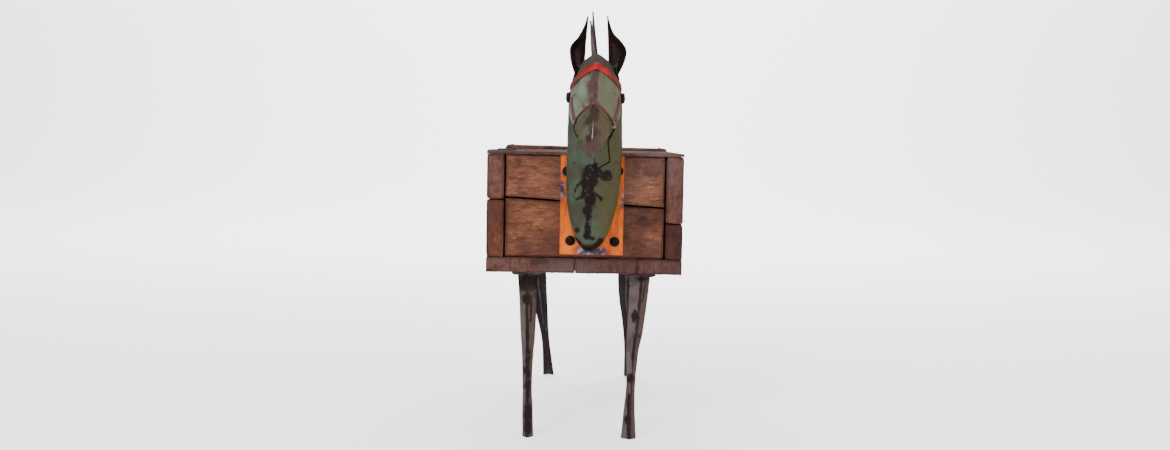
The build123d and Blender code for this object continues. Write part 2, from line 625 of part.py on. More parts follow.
# ---- legs and tail -----------------------------------------------------------------------------
# Legs from the top down: across, distance behind the chest's front face, height, width, fold depth.
LEGS = {
    "front_left": (-1, (
        (-80.5, 18.0, 229.0, 31.0, 12.0), (-80.0, 14.0, 204.6, 26.7, 11.0), (-78.6, 5.0, 148.2, 22.2, 9.0),
        (-78.1, -2.0, 113.3, 17.1, 7.5), (-77.8, -10.0, 71.5, 14.2, 6.5), (-76.5, -18.0, 37.3, 14.9, 7.0),
        (-75.3, -25.0, 0.0, 15.6, 8.0),
    )),
    "front_right": (-1, (
        (80.5, 18.0, 229.0, 33.0, 12.0), (79.5, 14.0, 207.5, 29.3, 11.0), (75.1, 5.0, 151.0, 24.4, 9.0),
        (71.2, -2.0, 116.0, 18.6, 7.5), (70.0, -10.0, 74.2, 13.8, 6.5), (68.3, -18.0, 39.9, 16.3, 7.0),
        (67.4, -25.0, 0.0, 22.0, 8.0),
    )),
    "rear_left": (1, (
        (-84.0, 370.0, 229.0, 34.0, 12.0), (-77.6, 385.0, 157.7, 28.0, 10.0), (-66.0, 410.0, 70.7, 14.7, 7.0),
        (-59.8, 430.0, 0.0, 20.1, 8.0),
    )),
    "rear_right": (1, (
        (76.0, 370.0, 229.0, 34.0, 12.0), (74.6, 385.0, 160.4, 27.6, 10.0), (80.3, 410.0, 73.4, 14.9, 7.0),
        (84.9, 430.0, 0.0, 20.1, 8.0),
    )),
}
LEG_T = 1.8
FLANGE_W = 44.0
FLANGE_D = 50.0
FLANGE_T = 2.0
FLANGE_SCREW_EDGE = 5.5
TAIL_STATIONS = (
    (4.0, 403.0, 382.0, 20.0, 6.0), (4.0, 424.0, 368.0, 26.0, 8.0), (5.0, 441.0, 335.0, 31.0, 9.0),
    (6.0, 449.0, 285.0, 30.0, 9.0), (7.0, 447.0, 235.0, 22.0, 7.0), (7.5, 440.0, 195.0, 8.0, 3.0),
)
TAIL_PLATE_W = 60.0
TAIL_PLATE_Z = (346.0, 394.0)
TAIL_BOLT_ZS = (354.0, 381.0)
TAIL_BOLTS_APART = 44.0


def folded_strip(stations, ridge_way):
    """A strip of sheet folded along its length. ridge_way is -1 for a fold at the front, 1 at the back."""
    wires = []
    for x, y, z, width, depth in stations:
        half, t = width / 2, LEG_T
        skin = t * hypot(half, depth) / half
        corners = [
            (x - half, -ridge_way * depth / 2), (x, ridge_way * depth / 2),
            (x + half, -ridge_way * depth / 2), (x + half - 0.4 * t, -ridge_way * (depth / 2 + 0.9 * t)),
            (x, ridge_way * (depth / 2 - skin)), (x - half + 0.4 * t, -ridge_way * (depth / 2 + 0.9 * t)),
        ]
        points = [(u, FRONT_Y + y + v, z) for u, v in corners]
        wires.append(Wire(Polyline(*points, close=True).edges()))
    return Solid.make_loft(wires, True)


def legs():
    """Four folded legs, each with a flange screwed to the bottom boards."""
    flanges, screws, holes = [], [], []
    for name, (ridge_way, stations) in LEGS.items():
        keep(f"leg_{name}", folded_strip(stations, ridge_way))
        x = stations[0][0]
        y0 = FRONT_Y + 1.0 if ridge_way < 0 else REAR_Y - 1.0 - FLANGE_D
        z0 = stations[0][2]
        flange = block((x - FLANGE_W / 2, x + FLANGE_W / 2), (y0, y0 + FLANGE_D), (z0, z0 + FLANGE_T))
        for dx in (FLANGE_SCREW_EDGE - FLANGE_W / 2, FLANGE_W / 2 - FLANGE_SCREW_EDGE):
            for dy in (FLANGE_SCREW_EDGE, FLANGE_D - FLANGE_SCREW_EDGE):
                spot = (x + dx, y0 + dy, z0)
                screws.append(fastener(spot, (0, 0, 1), SCREW_HEAD_R, SCREW_HEAD_H, SCREW_R, FLANGE_SCREW_L))
                holes.append(shank(spot, (0, 0, 1), SCREW_R, FLANGE_SCREW_L))
        flanges.append(flange - Compound(children=holes[-4:]))
    keep("leg_flanges", *flanges)
    keep("leg_screws", *screws)
    drill([f"bottom_board_{n}" for n in ("left", "middle", "right")], holes)


def tail():
    """A folded tail on a small plate, bolted to the rear boards."""
    rear_face = REAR_Y - END_RECESS
    middle = TAIL_STATIONS[0][0]
    plate_x = (middle - TAIL_PLATE_W / 2, middle + TAIL_PLATE_W / 2)
    plate = block(plate_x, (rear_face, rear_face + PLATE_T), TAIL_PLATE_Z)
    spots = [(middle + side * TAIL_BOLTS_APART / 2, z) for side in (-1, 1) for z in TAIL_BOLT_ZS]
    holes = through_bolts(spots, rear_face + PLATE_T, rear_face - END_T, 1)
    keep("tail_plate", plate)
    drill(["tail_plate", "rear_board_upper"], holes)
    behind_plate = half_space((0, rear_face + PLATE_T, 300), (0, 1, 0))
    keep("tail", folded_strip(TAIL_STATIONS, 1) & behind_plate)


def main():
    chest()
    lid()
    lid_hinges()
    chest_nails()
    neck_mounting()
    neck_and_head()
    trimmings()
    legs()
    tail()
    keep("plate_bolts", *BOLTS)
    keep("bolt_washers", *WASHERS)
    keep("bolt_nuts", *NUTS)
    os.makedirs("parts", exist_ok=True)
    for name, shape in PARTS.items():
        export_step(shape, f"parts/{name}.step")


main()
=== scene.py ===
import math

import bpy
import numpy as np
from mathutils import Matrix, Vector, noise


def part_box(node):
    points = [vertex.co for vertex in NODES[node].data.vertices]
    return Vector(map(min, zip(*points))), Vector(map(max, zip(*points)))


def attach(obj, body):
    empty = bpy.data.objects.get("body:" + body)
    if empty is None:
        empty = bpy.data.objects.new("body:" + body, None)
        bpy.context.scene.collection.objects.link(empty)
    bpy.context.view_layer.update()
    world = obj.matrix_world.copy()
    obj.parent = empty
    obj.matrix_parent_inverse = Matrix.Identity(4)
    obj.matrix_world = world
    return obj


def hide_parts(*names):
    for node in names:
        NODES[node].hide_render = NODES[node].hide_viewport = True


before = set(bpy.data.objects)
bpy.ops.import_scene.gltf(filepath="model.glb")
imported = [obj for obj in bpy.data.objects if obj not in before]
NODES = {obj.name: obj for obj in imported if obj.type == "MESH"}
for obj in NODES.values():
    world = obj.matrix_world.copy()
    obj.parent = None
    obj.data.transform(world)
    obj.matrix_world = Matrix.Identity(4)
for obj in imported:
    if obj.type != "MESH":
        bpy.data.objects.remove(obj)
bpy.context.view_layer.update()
MM = 0.001


# ---- camera, floor and light -------------------------------------------------------------------
CAMERA_AT = (0.0007, -1.8453, 0.4231)
CAMERA_PITCH = 0.072
CAMERA_ROLL = 0.018
CAMERA_LENS = 36.84
CAMERA_SENSOR = 36.0
CAMERA_CLIP = (0.05, 50.0)
FLOOR_HALF = 9.0
FLOOR_COLOUR = (0.95, 0.95, 0.95, 1)
FLOOR_GLOW = 1.2
WALL_Y = 6.0
WALL_TOP = 7.0
BEND = 1.5
BEND_STEPS = 16
WORLD_GLOW = 0.42


def link(obj):
    bpy.context.scene.collection.objects.link(obj)
    return obj


def add_camera():
    data = bpy.data.cameras.new("camera")
    data.lens = CAMERA_LENS
    data.sensor_width = CAMERA_SENSOR
    data.clip_start, data.clip_end = CAMERA_CLIP
    camera = link(bpy.data.objects.new("camera", data))
    tilt = Matrix.Rotation(math.pi / 2 - CAMERA_PITCH, 4, "X")
    roll = Matrix.Rotation(CAMERA_ROLL, 4, "Z")
    camera.matrix_world = Matrix.Translation(CAMERA_AT) @ tilt @ roll
    bpy.context.scene.camera = camera


def add_floor():
    """A pale floor that bends up into a backdrop."""
    profile = [(-FLOOR_HALF, 0.0), (WALL_Y - BEND, 0.0)]
    for i in range(1, BEND_STEPS + 1):
        a = math.pi / 2 * i / BEND_STEPS
        profile.append((WALL_Y - BEND + BEND * math.sin(a), BEND - BEND * math.cos(a)))
    profile.append((WALL_Y, WALL_TOP))
    verts = [(x, y, z) for y, z in profile for x in (-FLOOR_HALF, FLOOR_HALF)]
    faces = [(2 * i, 2 * i + 1, 2 * i + 3, 2 * i + 2) for i in range(len(profile) - 1)]
    mesh = bpy.data.meshes.new("floor")
    mesh.from_pydata(verts, [], faces)
    mesh.polygons.foreach_set("use_smooth", [True] * len(faces))
    mat = bpy.data.materials.new("floor")
    mat.use_nodes = True
    bsdf = mat.node_tree.nodes["Principled BSDF"]
    bsdf.inputs["Base Color"].default_value = FLOOR_COLOUR
    bsdf.inputs["Roughness"].default_value = 1.0
    bsdf.inputs["Specular IOR Level"].default_value = 0.0
    bsdf.inputs["Emission Color"].default_value = (1, 1, 1, 1)
    bsdf.inputs["Emission Strength"].default_value = FLOOR_GLOW
    mesh.materials.append(mat)
    floor = link(bpy.data.objects.new("floor", mesh))
    floor.visible_glossy = False


def add_light(name, at, towards, size, power):
    data = bpy.data.lights.new(name, "AREA")
    data.energy = power
    data.size = size
    light = link(bpy.data.objects.new(name, data))
    light.location = at
    light.rotation_euler = (Vector(towards) - Vector(at)).to_track_quat("-Z", "Y").to_euler()


add_camera()
add_floor()
add_light("key", (-1.3, -2.3, 2.4), (0, 0, 0.35), 1.2, 72)
add_light("fill", (2.1, -1.9, 1.4), (0, 0, 0.3), 1.8, 31)
add_light("top", (0, 0.9, 2.8), (0, 0, 0.3), 2.0, 44)
add_light("sweep", (0, 3.2, 3.4), (0, 6.0, 0.6), 4.5, 420)
world = bpy.data.worlds.new("world")
bpy.context.scene.world = world
world.use_nodes = True
world.node_tree.nodes["Background"].inputs["Color"].default_value = (1, 1, 1, 1)
world.node_tree.nodes["Background"].inputs["Strength"].default_value = WORLD_GLOW


# ---- materials ---------------------------------------------------------------------------------
class Shader:
    """A small helper that adds and joins shader nodes."""

    shine = 0.2

    def __init__(self, name):
        self.mat = bpy.data.materials.new(name)
        self.mat.use_nodes = True
        self.tree = self.mat.node_tree
        self.bsdf = self.tree.nodes["Principled BSDF"]
        self.coord = self.tree.nodes.new("ShaderNodeTexCoord").outputs["Object"]

    def put(self, socket, value):
        if hasattr(value, "is_output"):
            self.tree.links.new(value, socket)
        elif isinstance(value, (tuple, list)) and len(value) == 3 and socket.type == "RGBA":
            socket.default_value = (*value, 1)
        else:
            socket.default_value = value

    def stretch(self, scale, turn=(0, 0, 0), shift=(0, 0, 0)):
        node = self.tree.nodes.new("ShaderNodeMapping")
        self.put(node.inputs["Vector"], self.coord)
        node.inputs["Scale"].default_value = scale
        node.inputs["Rotation"].default_value = turn
        node.inputs["Location"].default_value = shift
        return node.outputs["Vector"]

    def noise(self, scale, detail=5.0, rough=0.55, vector=None, distort=0.0):
        node = self.tree.nodes.new("ShaderNodeTexNoise")
        self.put(node.inputs["Vector"], self.coord if vector is None else vector)
        node.inputs["Scale"].default_value = scale
        node.inputs["Detail"].default_value = detail
        node.inputs["Roughness"].default_value = rough
        node.inputs["Distortion"].default_value = distort
        return node.outputs["Fac"]

    def ramp(self, value, low, high):
        """0 below low and 1 above high, or the other way round when low is the larger."""
        node = self.tree.nodes.new("ShaderNodeMapRange")
        self.put(node.inputs["Value"], value)
        node.inputs["From Min"].default_value = low
        node.inputs["From Max"].default_value = high
        node.interpolation_type = "SMOOTHSTEP"
        return node.outputs["Result"]

    def math(self, op, a, b=0.0):
        node = self.tree.nodes.new("ShaderNodeMath")
        node.operation = op
        self.put(node.inputs[0], a)
        self.put(node.inputs[1], b)
        return node.outputs[0]

    def plus(self, a, b):
        return self.math("ADD", a, b)

    def less(self, a, b):
        return self.math("SUBTRACT", a, b)

    def times(self, a, b):
        return self.math("MULTIPLY", a, b)

    def part(self, value, low, high, share):
        """A ramp that rises to a share of 1."""
        return self.times(self.ramp(value, low, high), share)

    def swing(self, scale, amount, detail=5.0, rough=0.55):
        """Noise that swings evenly about 0, amount from end to end."""
        return self.times(self.less(self.noise(scale, detail, rough), 0.5), amount)

    def mix(self, fac, a, b):
        node = self.tree.nodes.new("ShaderNodeMix")
        node.data_type = "RGBA"
        self.put(node.inputs["Factor"], fac)
        self.put(node.inputs["A"], a)
        self.put(node.inputs["B"], b)
        return node.outputs["Result"]

    def axis(self, letter, vector=None):
        node = self.tree.nodes.new("ShaderNodeSeparateXYZ")
        self.put(node.inputs[0], self.coord if vector is None else vector)
        return node.outputs[letter]

    def attribute(self, name):
        node = self.tree.nodes.new("ShaderNodeAttribute")
        node.attribute_name = name
        return node.outputs["Fac"]

    def ball(self, at_mm, radius_mm, edge_mm, wobble=0.0, squash=(1, 1, 1)):
        """1 within a ball round a point in the row frame, 0 outside it, with a ragged edge."""
        node = self.tree.nodes.new("ShaderNodeVectorMath")
        node.operation = "DISTANCE"
        self.put(node.inputs[0], self.stretch(squash))
        node.inputs[1].default_value = [c * MM * s for c, s in zip(at_mm, squash)]
        return self.ragged(node.outputs["Value"], radius_mm, edge_mm, wobble)

    def line(self, a_mm, b_mm, radius_mm, edge_mm, wobble=0.0, squash=(1.0, 0.25, 1.0)):
        """1 near the straight line between two points, 0 away from it. squash weighs the three axes."""
        a, b = Vector(a_mm) * MM, Vector(b_mm) * MM
        run = Vector([c * k for c, k in zip(b - a, squash)])
        away = self.vector("MULTIPLY", self.vector("SUBTRACT", self.coord, a), squash)
        along = self.math("DIVIDE", self.vector("DOT_PRODUCT", away, run), run.length_squared)
        along = self.math("MINIMUM", self.math("MAXIMUM", along, 0.0), 1.0)
        node = self.tree.nodes.new("ShaderNodeVectorMath")
        node.operation = "SCALE"
        node.inputs[0].default_value = run
        self.put(node.inputs["Scale"], along)
        reach = self.vector("DISTANCE", away, node.outputs["Vector"])
        return self.ragged(reach, radius_mm, edge_mm, wobble)

    def ragged(self, reach, radius_mm, edge_mm, wobble):
        """A mask of a distance, its edge moved in and out by coarse and fine noise."""
        if wobble:
            swing = self.less(self.noise(110.0, 6.0, 0.7), 0.5)
            reach = self.plus(reach, self.times(swing, wobble * MM))
        return self.ramp(reach, (radius_mm + edge_mm) * MM, (radius_mm - edge_mm) * MM)

    def vector(self, op, a, b):
        node = self.tree.nodes.new("ShaderNodeVectorMath")
        node.operation = op
        self.put(node.inputs[0], a)
        self.put(node.inputs[1], b)
        return node.outputs["Value" if op in ("DOT_PRODUCT", "DISTANCE") else "Vector"]

    def union(self, *parts):
        total = parts[0]
        for part in parts[1:]:
            total = self.math("MAXIMUM", total, part)
        return total

    def finish(self, colour, rough, bump=None, strength=0.4, distance=0.0006, metallic=0.0):
        self.put(self.bsdf.inputs["Base Color"], colour)
        self.put(self.bsdf.inputs["Roughness"], rough)
        self.put(self.bsdf.inputs["Metallic"], metallic)
        self.put(self.bsdf.inputs["Specular IOR Level"], self.shine)
        if bump is not None:
            node = self.tree.nodes.new("ShaderNodeBump")
            node.inputs["Strength"].default_value = strength
            node.inputs["Distance"].default_value = distance
            self.put(node.inputs["Height"], bump)
            self.put(self.bsdf.inputs["Normal"], node.outputs["Normal"])
        return self.mat


FIBRE_SCALES = {"X": (13, 60, 60), "Y": (60, 8, 22), "Z": (60, 60, 8)}
GREYED = (0.115, 0.085, 0.085)


def tinted(colour, factor, lift=0.0):
    return [min(1, factor * c + lift) for c in colour]


def wood(name, base, pale, dark, grain, grey=0.25, shift=0.0, patches=()):
    """Old stained board. grain is the letter of the axis the fibres run along; patches are paler places."""
    s = Shader(name)
    long = FIBRE_SCALES[grain]
    fibres = s.noise(3.4, 8.0, 0.66, s.stretch(long, shift=(shift, shift * 0.7, shift * 0.3)), 0.5)
    flecks = s.noise(11.0, 4.0, 0.7, s.stretch([v * 0.9 for v in long], shift=(shift, 0, 0)))
    cloud = s.noise(13.0, 5.0, 0.62, s.stretch((1, 1, 1), shift=(shift, shift, 0)))
    stain = s.noise(30.0, 5.0, 0.65, s.stretch((0.7, 0.7, 1.0), shift=(0, shift, shift)))
    lit = s.ramp(cloud, 0.40, 0.68)
    if patches:
        lit = s.union(s.times(lit, 0.45), *[s.times(s.ball(*patch), 0.85) for patch in patches])
    colour = s.mix(lit, base, pale)
    colour = s.mix(s.part(fibres, 0.60, 0.34, 0.62), colour, dark)
    rubbed = s.plus(s.times(lit, 0.55), 0.12)
    colour = s.mix(s.part(flecks, 0.54, 0.66, rubbed), colour, tinted(pale, 1.9))
    colour = s.mix(s.part(stain, 0.52, 0.66, 0.55), colour, tinted(dark, 0.6))
    colour = s.mix(s.part(s.noise(9.0, 3.0, 0.5), 0.50, 0.68, grey), colour, GREYED)
    rim = s.attribute("edge")
    edge_patches = s.ramp(s.noise(60.0, 4.0, 0.6), 0.42, 0.6)
    dirt_and_edge_shade = s.plus(s.times(edge_patches, 0.45), 0.15)
    # Darker towards the board edges, patchy: grime and painted shade in the seams between boards.
    colour = s.mix(s.part(rim, 0.2, 0.8, dirt_and_edge_shade), colour, tinted(dark, 0.4))
    # A painted highlight along the very arrises, patchy: paler than the board, for the sheen of the worn
    # edges.
    colour = s.mix(s.part(rim, 0.76, 0.92, s.times(edge_patches, 0.5)), colour, tinted(pale, 1.5, 0.02))
    height = s.plus(fibres, s.times(flecks, 0.6))
    return s.finish(colour, s.plus(0.42, s.times(fibres, 0.3)), height, 0.7, 0.0009)


def painted(
    name, base, second, worn, rust, wear=0.5, gloss=0.38, marks=(), cuts=(), bands=None, lines=(),
):
    """Old paint on sheet steel: two paint tones, rubbed patches and rust.

    marks are rust stains, and also painted shade below the nose tip on the neck and under the chest on the
    front legs; cuts are round patches and lines are scratches, each with its own tint, the muzzle's one line
    being a painted highlight.
    """
    s = Shader(name)
    tone = s.noise(26.0, 4.0, 0.55)
    colour = s.mix(s.ramp(tone, 0.4, 0.62), base, second)
    if bands is not None:
        colour = bands(s, colour)
    rub = s.ramp(s.noise(55.0, 8.0, 0.68, None, 0.4), 0.66 - 0.2 * wear, 0.72 - 0.2 * wear)
    speck = s.ramp(s.noise(260.0, 3.0, 0.6), 0.66, 0.72)
    ridge = s.ramp(s.plus(s.attribute("ridge"), s.swing(70.0, 1.3, 6.0, 0.7)), 0.55, 0.85)
    colour = s.mix(s.times(rub, 0.75), colour, worn)
    colour = s.mix(s.times(speck, 0.8), colour, rust)
    colour = s.mix(ridge, colour, worn)
    spots = [s.line(*mark) if hasattr(mark[1], "__len__") else s.ball(*mark) for mark in marks]
    mask = s.union(s.times(speck, 0.4), *spots)
    blot = s.times(mask, s.ramp(s.noise(150.0, 5.0, 0.7), 0.34, 0.42))
    # The marks in the rust tint: rust stains, and painted shade below the nose tip and under the chest.
    colour = s.mix(blot, colour, rust)
    for at, radius, edge, wobble, squash, tint in cuts:
        colour = s.mix(s.ball(at, radius, edge, wobble, squash), colour, tint)
    # Lines in their own tints: scratches, and on the muzzle a painted highlight.
    for a, b, radius, edge, wobble, tint in lines:
        colour = s.mix(s.line(a, b, radius, edge, wobble), colour, tint)
    colour = s.mix(s.part(s.attribute("edge"), 0.35, 0.9, 0.8), colour, rust)
    chipped = s.plus(rub, blot)
    height = s.less(s.noise(120.0, 5.0, 0.6), s.times(chipped, 0.6))
    return s.finish(colour, s.plus(gloss, s.times(chipped, 0.28)), height, 0.35, 0.0005)


def steel(name, base, rust, gloss=0.5, metallic=0.6):
    s = Shader(name)
    patch = s.ramp(s.noise(160.0, 6.0, 0.65), 0.46, 0.6)
    colour = s.mix(patch, base, rust)
    rough = s.plus(gloss, s.times(patch, 0.25))
    return s.finish(colour, rough, s.noise(300.0, 4.0, 0.6), 0.4, 0.0003, metallic)


# ---- meshes ------------------------------------------------------------------------------------
REAR_LIMIT = 303.4
BOARD_STEP = 5.0
EDGE_REACH = 2.2
LEAST_BITE = 0.15
BOARD_INSET = 0.05


def object_from(name, verts, faces, material, smooth=True, edge=None, ridge=None):
    """A mesh object whose vertices are given in millimetres in the row frame."""
    mesh = bpy.data.meshes.new(name)
    mesh.from_pydata([tuple(c * MM for c in v) for v in verts], [], faces)
    mesh.polygons.foreach_set("use_smooth", [smooth] * len(mesh.polygons))
    for key, values in (("edge", edge), ("ridge", ridge)):
        layer = mesh.attributes.new(key, "FLOAT", "POINT")
        layer.data.foreach_set("value", [0.0] * len(verts) if values is None else list(values))
    mesh.materials.append(material)
    mesh.update()
    return link(bpy.data.objects.new(name, mesh))


def stand_for(obj, nodes, body="chest"):
    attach(obj, body)
    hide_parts(*nodes)
    return obj


def wobble(point, scale, seed, amount):
    """Smooth repeatable noise at a point in millimetres, between -amount and amount."""
    p = Vector(point) * scale + Vector((seed * 13.7, seed * 7.1, seed * 3.3))
    return noise.noise(p) * amount


def limits(node):
    lo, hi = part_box(node)
    return [c / MM for c in lo], [c / MM for c in hi]


def plank(node, grain, material, seed, round_mm, dip, step=BOARD_STEP, shear=None, body="chest", grow=0.0):
    """A board as a dense rounded block, inside its CAD node's box, with chewed edges and a hollow grain."""
    lo, hi = limits(node)
    lo[0] -= grow
    hi[0] += grow
    size = [h - l for l, h in zip(lo, hi)]
    counts = [max(2, int(round(s / step))) for s in size]
    verts, index, faces = [], {}, []

    def corner(key):
        if key not in index:
            index[key] = len(verts)
            verts.append(key)
        return index[key]

    for axis in range(3):
        b, c = [a for a in range(3) if a != axis]
        for side in (0, counts[axis]):
            for i in range(counts[b]):
                for j in range(counts[c]):
                    quad = []
                    for di, dj in ((0, 0), (1, 0), (1, 1), (0, 1)):
                        key = [0, 0, 0]
                        key[axis], key[b], key[c] = side, i + di, j + dj
                        quad.append(corner(tuple(key)))
                    flip = (side == 0) == (axis != 1)
                    faces.append(tuple(reversed(quad)) if flip else tuple(quad))
    middle = [(l + h) / 2 for l, h in zip(lo, hi)]
    letter = "XYZ".index(grain)
    out, edge = [], []
    for key in verts:
        p = [l + s * k / n for l, s, k, n in zip(lo, size, key, counts)]
        near = sorted(min(p[a] - lo[a], hi[a] - p[a]) for a in range(3))
        on_edge = max(0.0, 1.0 - near[1] / (EDGE_REACH * round_mm))
        bite = round_mm * (1.0 + wobble(p, 0.035, seed, 1.1) + wobble(p, 0.16, seed + 5, 0.6))
        bite = max(LEAST_BITE, bite)
        q = list(p)
        for a in range(3):
            others = [b for b in range(3) if b != a]
            gap = min(p[a] - lo[a], hi[a] - p[a])
            if gap < 0.01:
                close = min(min(p[b] - lo[b], hi[b] - p[b]) for b in others)
                sink = bite * (1 - min(1.0, close / bite)) ** 2 if close < bite else 0.0
                stretch = [v * (0.008 if n == letter else 0.09) for n, v in enumerate(p)]
                ripple = abs(noise.noise(Vector(stretch) + Vector((seed, 0, seed)))) * dip
                sag = max(0.0, wobble(p, 0.018, seed + 9, 0.8)) * dip
                inward = 1 if p[a] < middle[a] else -1
                q[a] += inward * (max(sink, 0.0) * 0.9 + ripple + sag + BOARD_INSET)
        if shear:
            q[2] = shear(q[0], q[2], lo[2], hi[2])
        out.append(q)
        edge.append(on_edge)
    obj = object_from("vis_" + node, out, faces, material, True, edge)
    return stand_for(obj, [node], body)


def catmull(stations, t):
    """A row of station values at t, where whole numbers are the stations."""
    n = len(stations)
    i = min(int(t), n - 2)
    f = t - i
    p = [stations[min(max(k, 0), n - 1)] for k in (i - 1, i, i + 1, i + 2)]
    row = []
    for a, b, c, d in zip(*p):
        square, cube = 2 * a - 5 * b + 4 * c - d, 3 * b - a - 3 * c + d
        row.append(0.5 * ((2 * b) + (c - a) * f + square * f * f + cube * f ** 3))
    return row


def grid_sheet(name, rows, thickness, material, seed, dent=0.5, ridge=None, edge=None):
    """A sheet of metal from a grid of points: two skins thickness apart, closed at the rim."""
    rows = [[Vector(p) for p in row] for row in rows]
    n, m = len(rows), len(rows[0])

    def normal(i, j):
        a = rows[min(i + 1, n - 1)][j] - rows[max(i - 1, 0)][j]
        b = rows[i][min(j + 1, m - 1)] - rows[i][max(j - 1, 0)]
        c = a.cross(b)
        return c.normalized() if c.length > 1e-9 else Vector((0, 0, 0))

    outer, inner, edge_values, ridge_values = [], [], [], []
    for i in range(n):
        for j in range(m):
            nrm = normal(i, j)
            p = rows[i][j]
            sink = (0.5 + wobble(p, 0.028, seed, 0.8) + wobble(p, 0.085, seed + 3, 0.35)) * dent
            top = p - nrm * max(0.02, sink)
            back = top - nrm * thickness
            outer.append(Vector((top.x, min(top.y, REAR_LIMIT), max(top.z, 0.0))))
            inner.append(Vector((back.x, min(back.y, REAR_LIMIT), max(back.z, 0.0))))
            rim = min(i, n - 1 - i, j, m - 1 - j)
            edge_values.append(1.0 if rim == 0 else 0.0)
            ridge_values.append(0.0 if ridge is None else ridge(i / (n - 1), j / (m - 1), p))
    if edge is not None:
        edge_values = [edge(i / (n - 1), j / (m - 1)) for i in range(n) for j in range(m)]
    verts = outer + inner
    size = n * m
    faces = []
    for i in range(n - 1):
        for j in range(m - 1):
            a, b, c, d = i * m + j, (i + 1) * m + j, (i + 1) * m + j + 1, i * m + j + 1
            faces.append((a, b, c, d))
            faces.append((a + size, d + size, c + size, b + size))
    ring = [(0, j) for j in range(m)] + [(i, m - 1) for i in range(1, n)]
    ring += [(n - 1, j) for j in range(m - 2, -1, -1)] + [(i, 0) for i in range(n - 2, 0, -1)]
    for (i0, j0), (i1, j1) in zip(ring, ring[1:] + ring[:1]):
        a, b = i0 * m + j0, i1 * m + j1
        faces.append((a, b, b + size, a + size))
    return object_from(name, verts, faces, material, True, edge_values * 2, ridge_values * 2)


# ---- forms shared with the CAD, in millimetres -------------------------------------------------
HALVINGS = 22
HEAD_X = 12.0
FRONT_Y = -150.0
SHEET_T = 1.4
HEAD_LEAN = math.radians(48.0)
# Up the neck: height, how far the keel and the widest line stand in front of the chest, half the width
# there, the same two for the back edge, and the shift across.
NECK_STATIONS = (
    (264.0, 8.0, 3.0, 5.5, -0.5, 4.0, -5.0),
    (269.0, 17.0, 6.0, 12.0, -0.5, 7.0, -4.4),
    (279.0, 28.0, 10.0, 20.0, -0.5, 10.0, -3.8),
    (300.0, 43.0, 19.0, 28.2, -0.5, 16.0, -3.0),
    (327.0, 57.0, 28.0, 34.2, -0.5, 21.0, -2.1),
    (362.0, 68.0, 33.0, 38.0, -0.5, 22.0, -0.8),
    (398.0, 74.0, 37.0, 39.0, 0.4, 19.0, 0.0),
    (414.0, 75.0, 38.5, 38.8, 2.6, 1.0, 0.0),
    (440.0, 76.0, 41.0, 38.0, 6.0, 0.3, 0.0),
    (478.0, 78.0, 46.0, 37.0, 14.0, 0.3, 0.0),
    (512.0, 80.0, 52.0, 31.0, 27.0, 0.3, 0.0),
    (546.0, 82.0, 60.0, 20.0, 41.0, 0.3, 0.0),
)
# Down the head: how far in front of the chest the ridge stands, its height, half the width, how deep the
# widest line and the lower edge lie, and the shift across.
HEAD_STATIONS = (
    (61.0, 539.5, 26.0, 32.0, 70.0, 0.0),
    (80.0, 519.5, 34.0, 42.0, 98.0, 0.0),
    (97.0, 494.0, 35.5, 46.0, 83.5, -0.6),
    (107.0, 478.0, 30.5, 42.0, 73.5, -1.3),
    (115.0, 465.0, 25.0, 35.0, 65.0, -2.0),
    (124.0, 448.0, 20.5, 27.0, 51.0, -3.0),
    (133.0, 431.0, 14.5, 20.0, 38.0, -4.0),
    (140.0, 417.0, 8.5, 13.0, 26.0, -4.8),
    (145.0, 407.0, 3.0, 6.0, 14.0, -5.4),
)
POLL_FORWARD, POLL_Z = 61.0, 537.6
NECK_FULL_T = 6.0
# Where neck and head meet: forward and height at the lower end, then at the upper end.
JOINT = (80.0, 424.0, 40.0, 541.0)
# The plane between face and muzzle: forward, height and lean.
NOSE_CUT = (114.0, 467.0, math.radians(56.0))
LAST = len(HEAD_STATIONS) - 1.0


def joint_forward(z):
    """How far in front of the chest the head's sheets meet the neck's at a height."""
    f0, z0, f1, z1 = JOINT
    return f0 + (f1 - f0) * (z - z0) / (z1 - z0)


def root(function, low, high):
    """Where a function that is negative at low and positive at high goes through zero."""
    if function(low) >= 0.0:
        return low
    if function(high) <= 0.0:
        return high
    for _ in range(HALVINGS):
        middle = (low + high) / 2
        if function(middle) < 0.0:
            low = middle
        else:
            high = middle
    return (low + high) / 2


def outline_point(w, m, wb, d, q, offset=0.0):
    """A point (across, depth) on a half outline, q from 0 at the ridge to 1 at the back."""
    points = [
        (0.0, 0.0), (0.34 * w, 0.2 * m), (0.63 * w, 0.43 * m), (0.87 * w, 0.71 * m), (w, m),
        (wb + 0.9 * (w - wb), m + 0.38 * (d - m)), (wb + 0.58 * (w - wb), m + 0.72 * (d - m)), (wb, d),
    ]
    t = q * (len(points) - 1)
    u, v = catmull(points, t)
    if offset:
        u1, v1 = catmull(points, max(0.0, t - 0.05))
        u2, v2 = catmull(points, min(len(points) - 1.0, t + 0.05))
        size = math.hypot(u2 - u1, v2 - v1) or 1.0
        u, v = u + offset * (v2 - v1) / size, v - offset * (u2 - u1) / size
    return u, v


def neck_point(t, q, side, offset=0.0):
    z, keel, mid, w, back, wb, aside = catmull(NECK_STATIONS, t)
    u, v = outline_point(w, keel - mid, wb, keel - back, q, offset)
    return (HEAD_X + aside + side * u, FRONT_Y - keel + v, z)


def head_point(t, q, side, offset=0.0):
    forward, z, w, m, d, aside = catmull(HEAD_STATIONS, t)
    close = 1.0 - 0.8 * max(0.0, (t - LAST + 0.7) / 0.7) ** 2
    u, v = outline_point(max(w, 1.0) * close, max(m, 2.0) * close, 1.2 * close, d * close, q, offset)
    return (
        HEAD_X + aside + side * u,
        FRONT_Y - forward + v * math.cos(HEAD_LEAN),
        z - v * math.sin(HEAD_LEAN),
    )


def past_joint(point):
    """Negative behind the joint between neck and head, positive in front of it."""
    return (FRONT_Y - point[1]) - joint_forward(point[2])


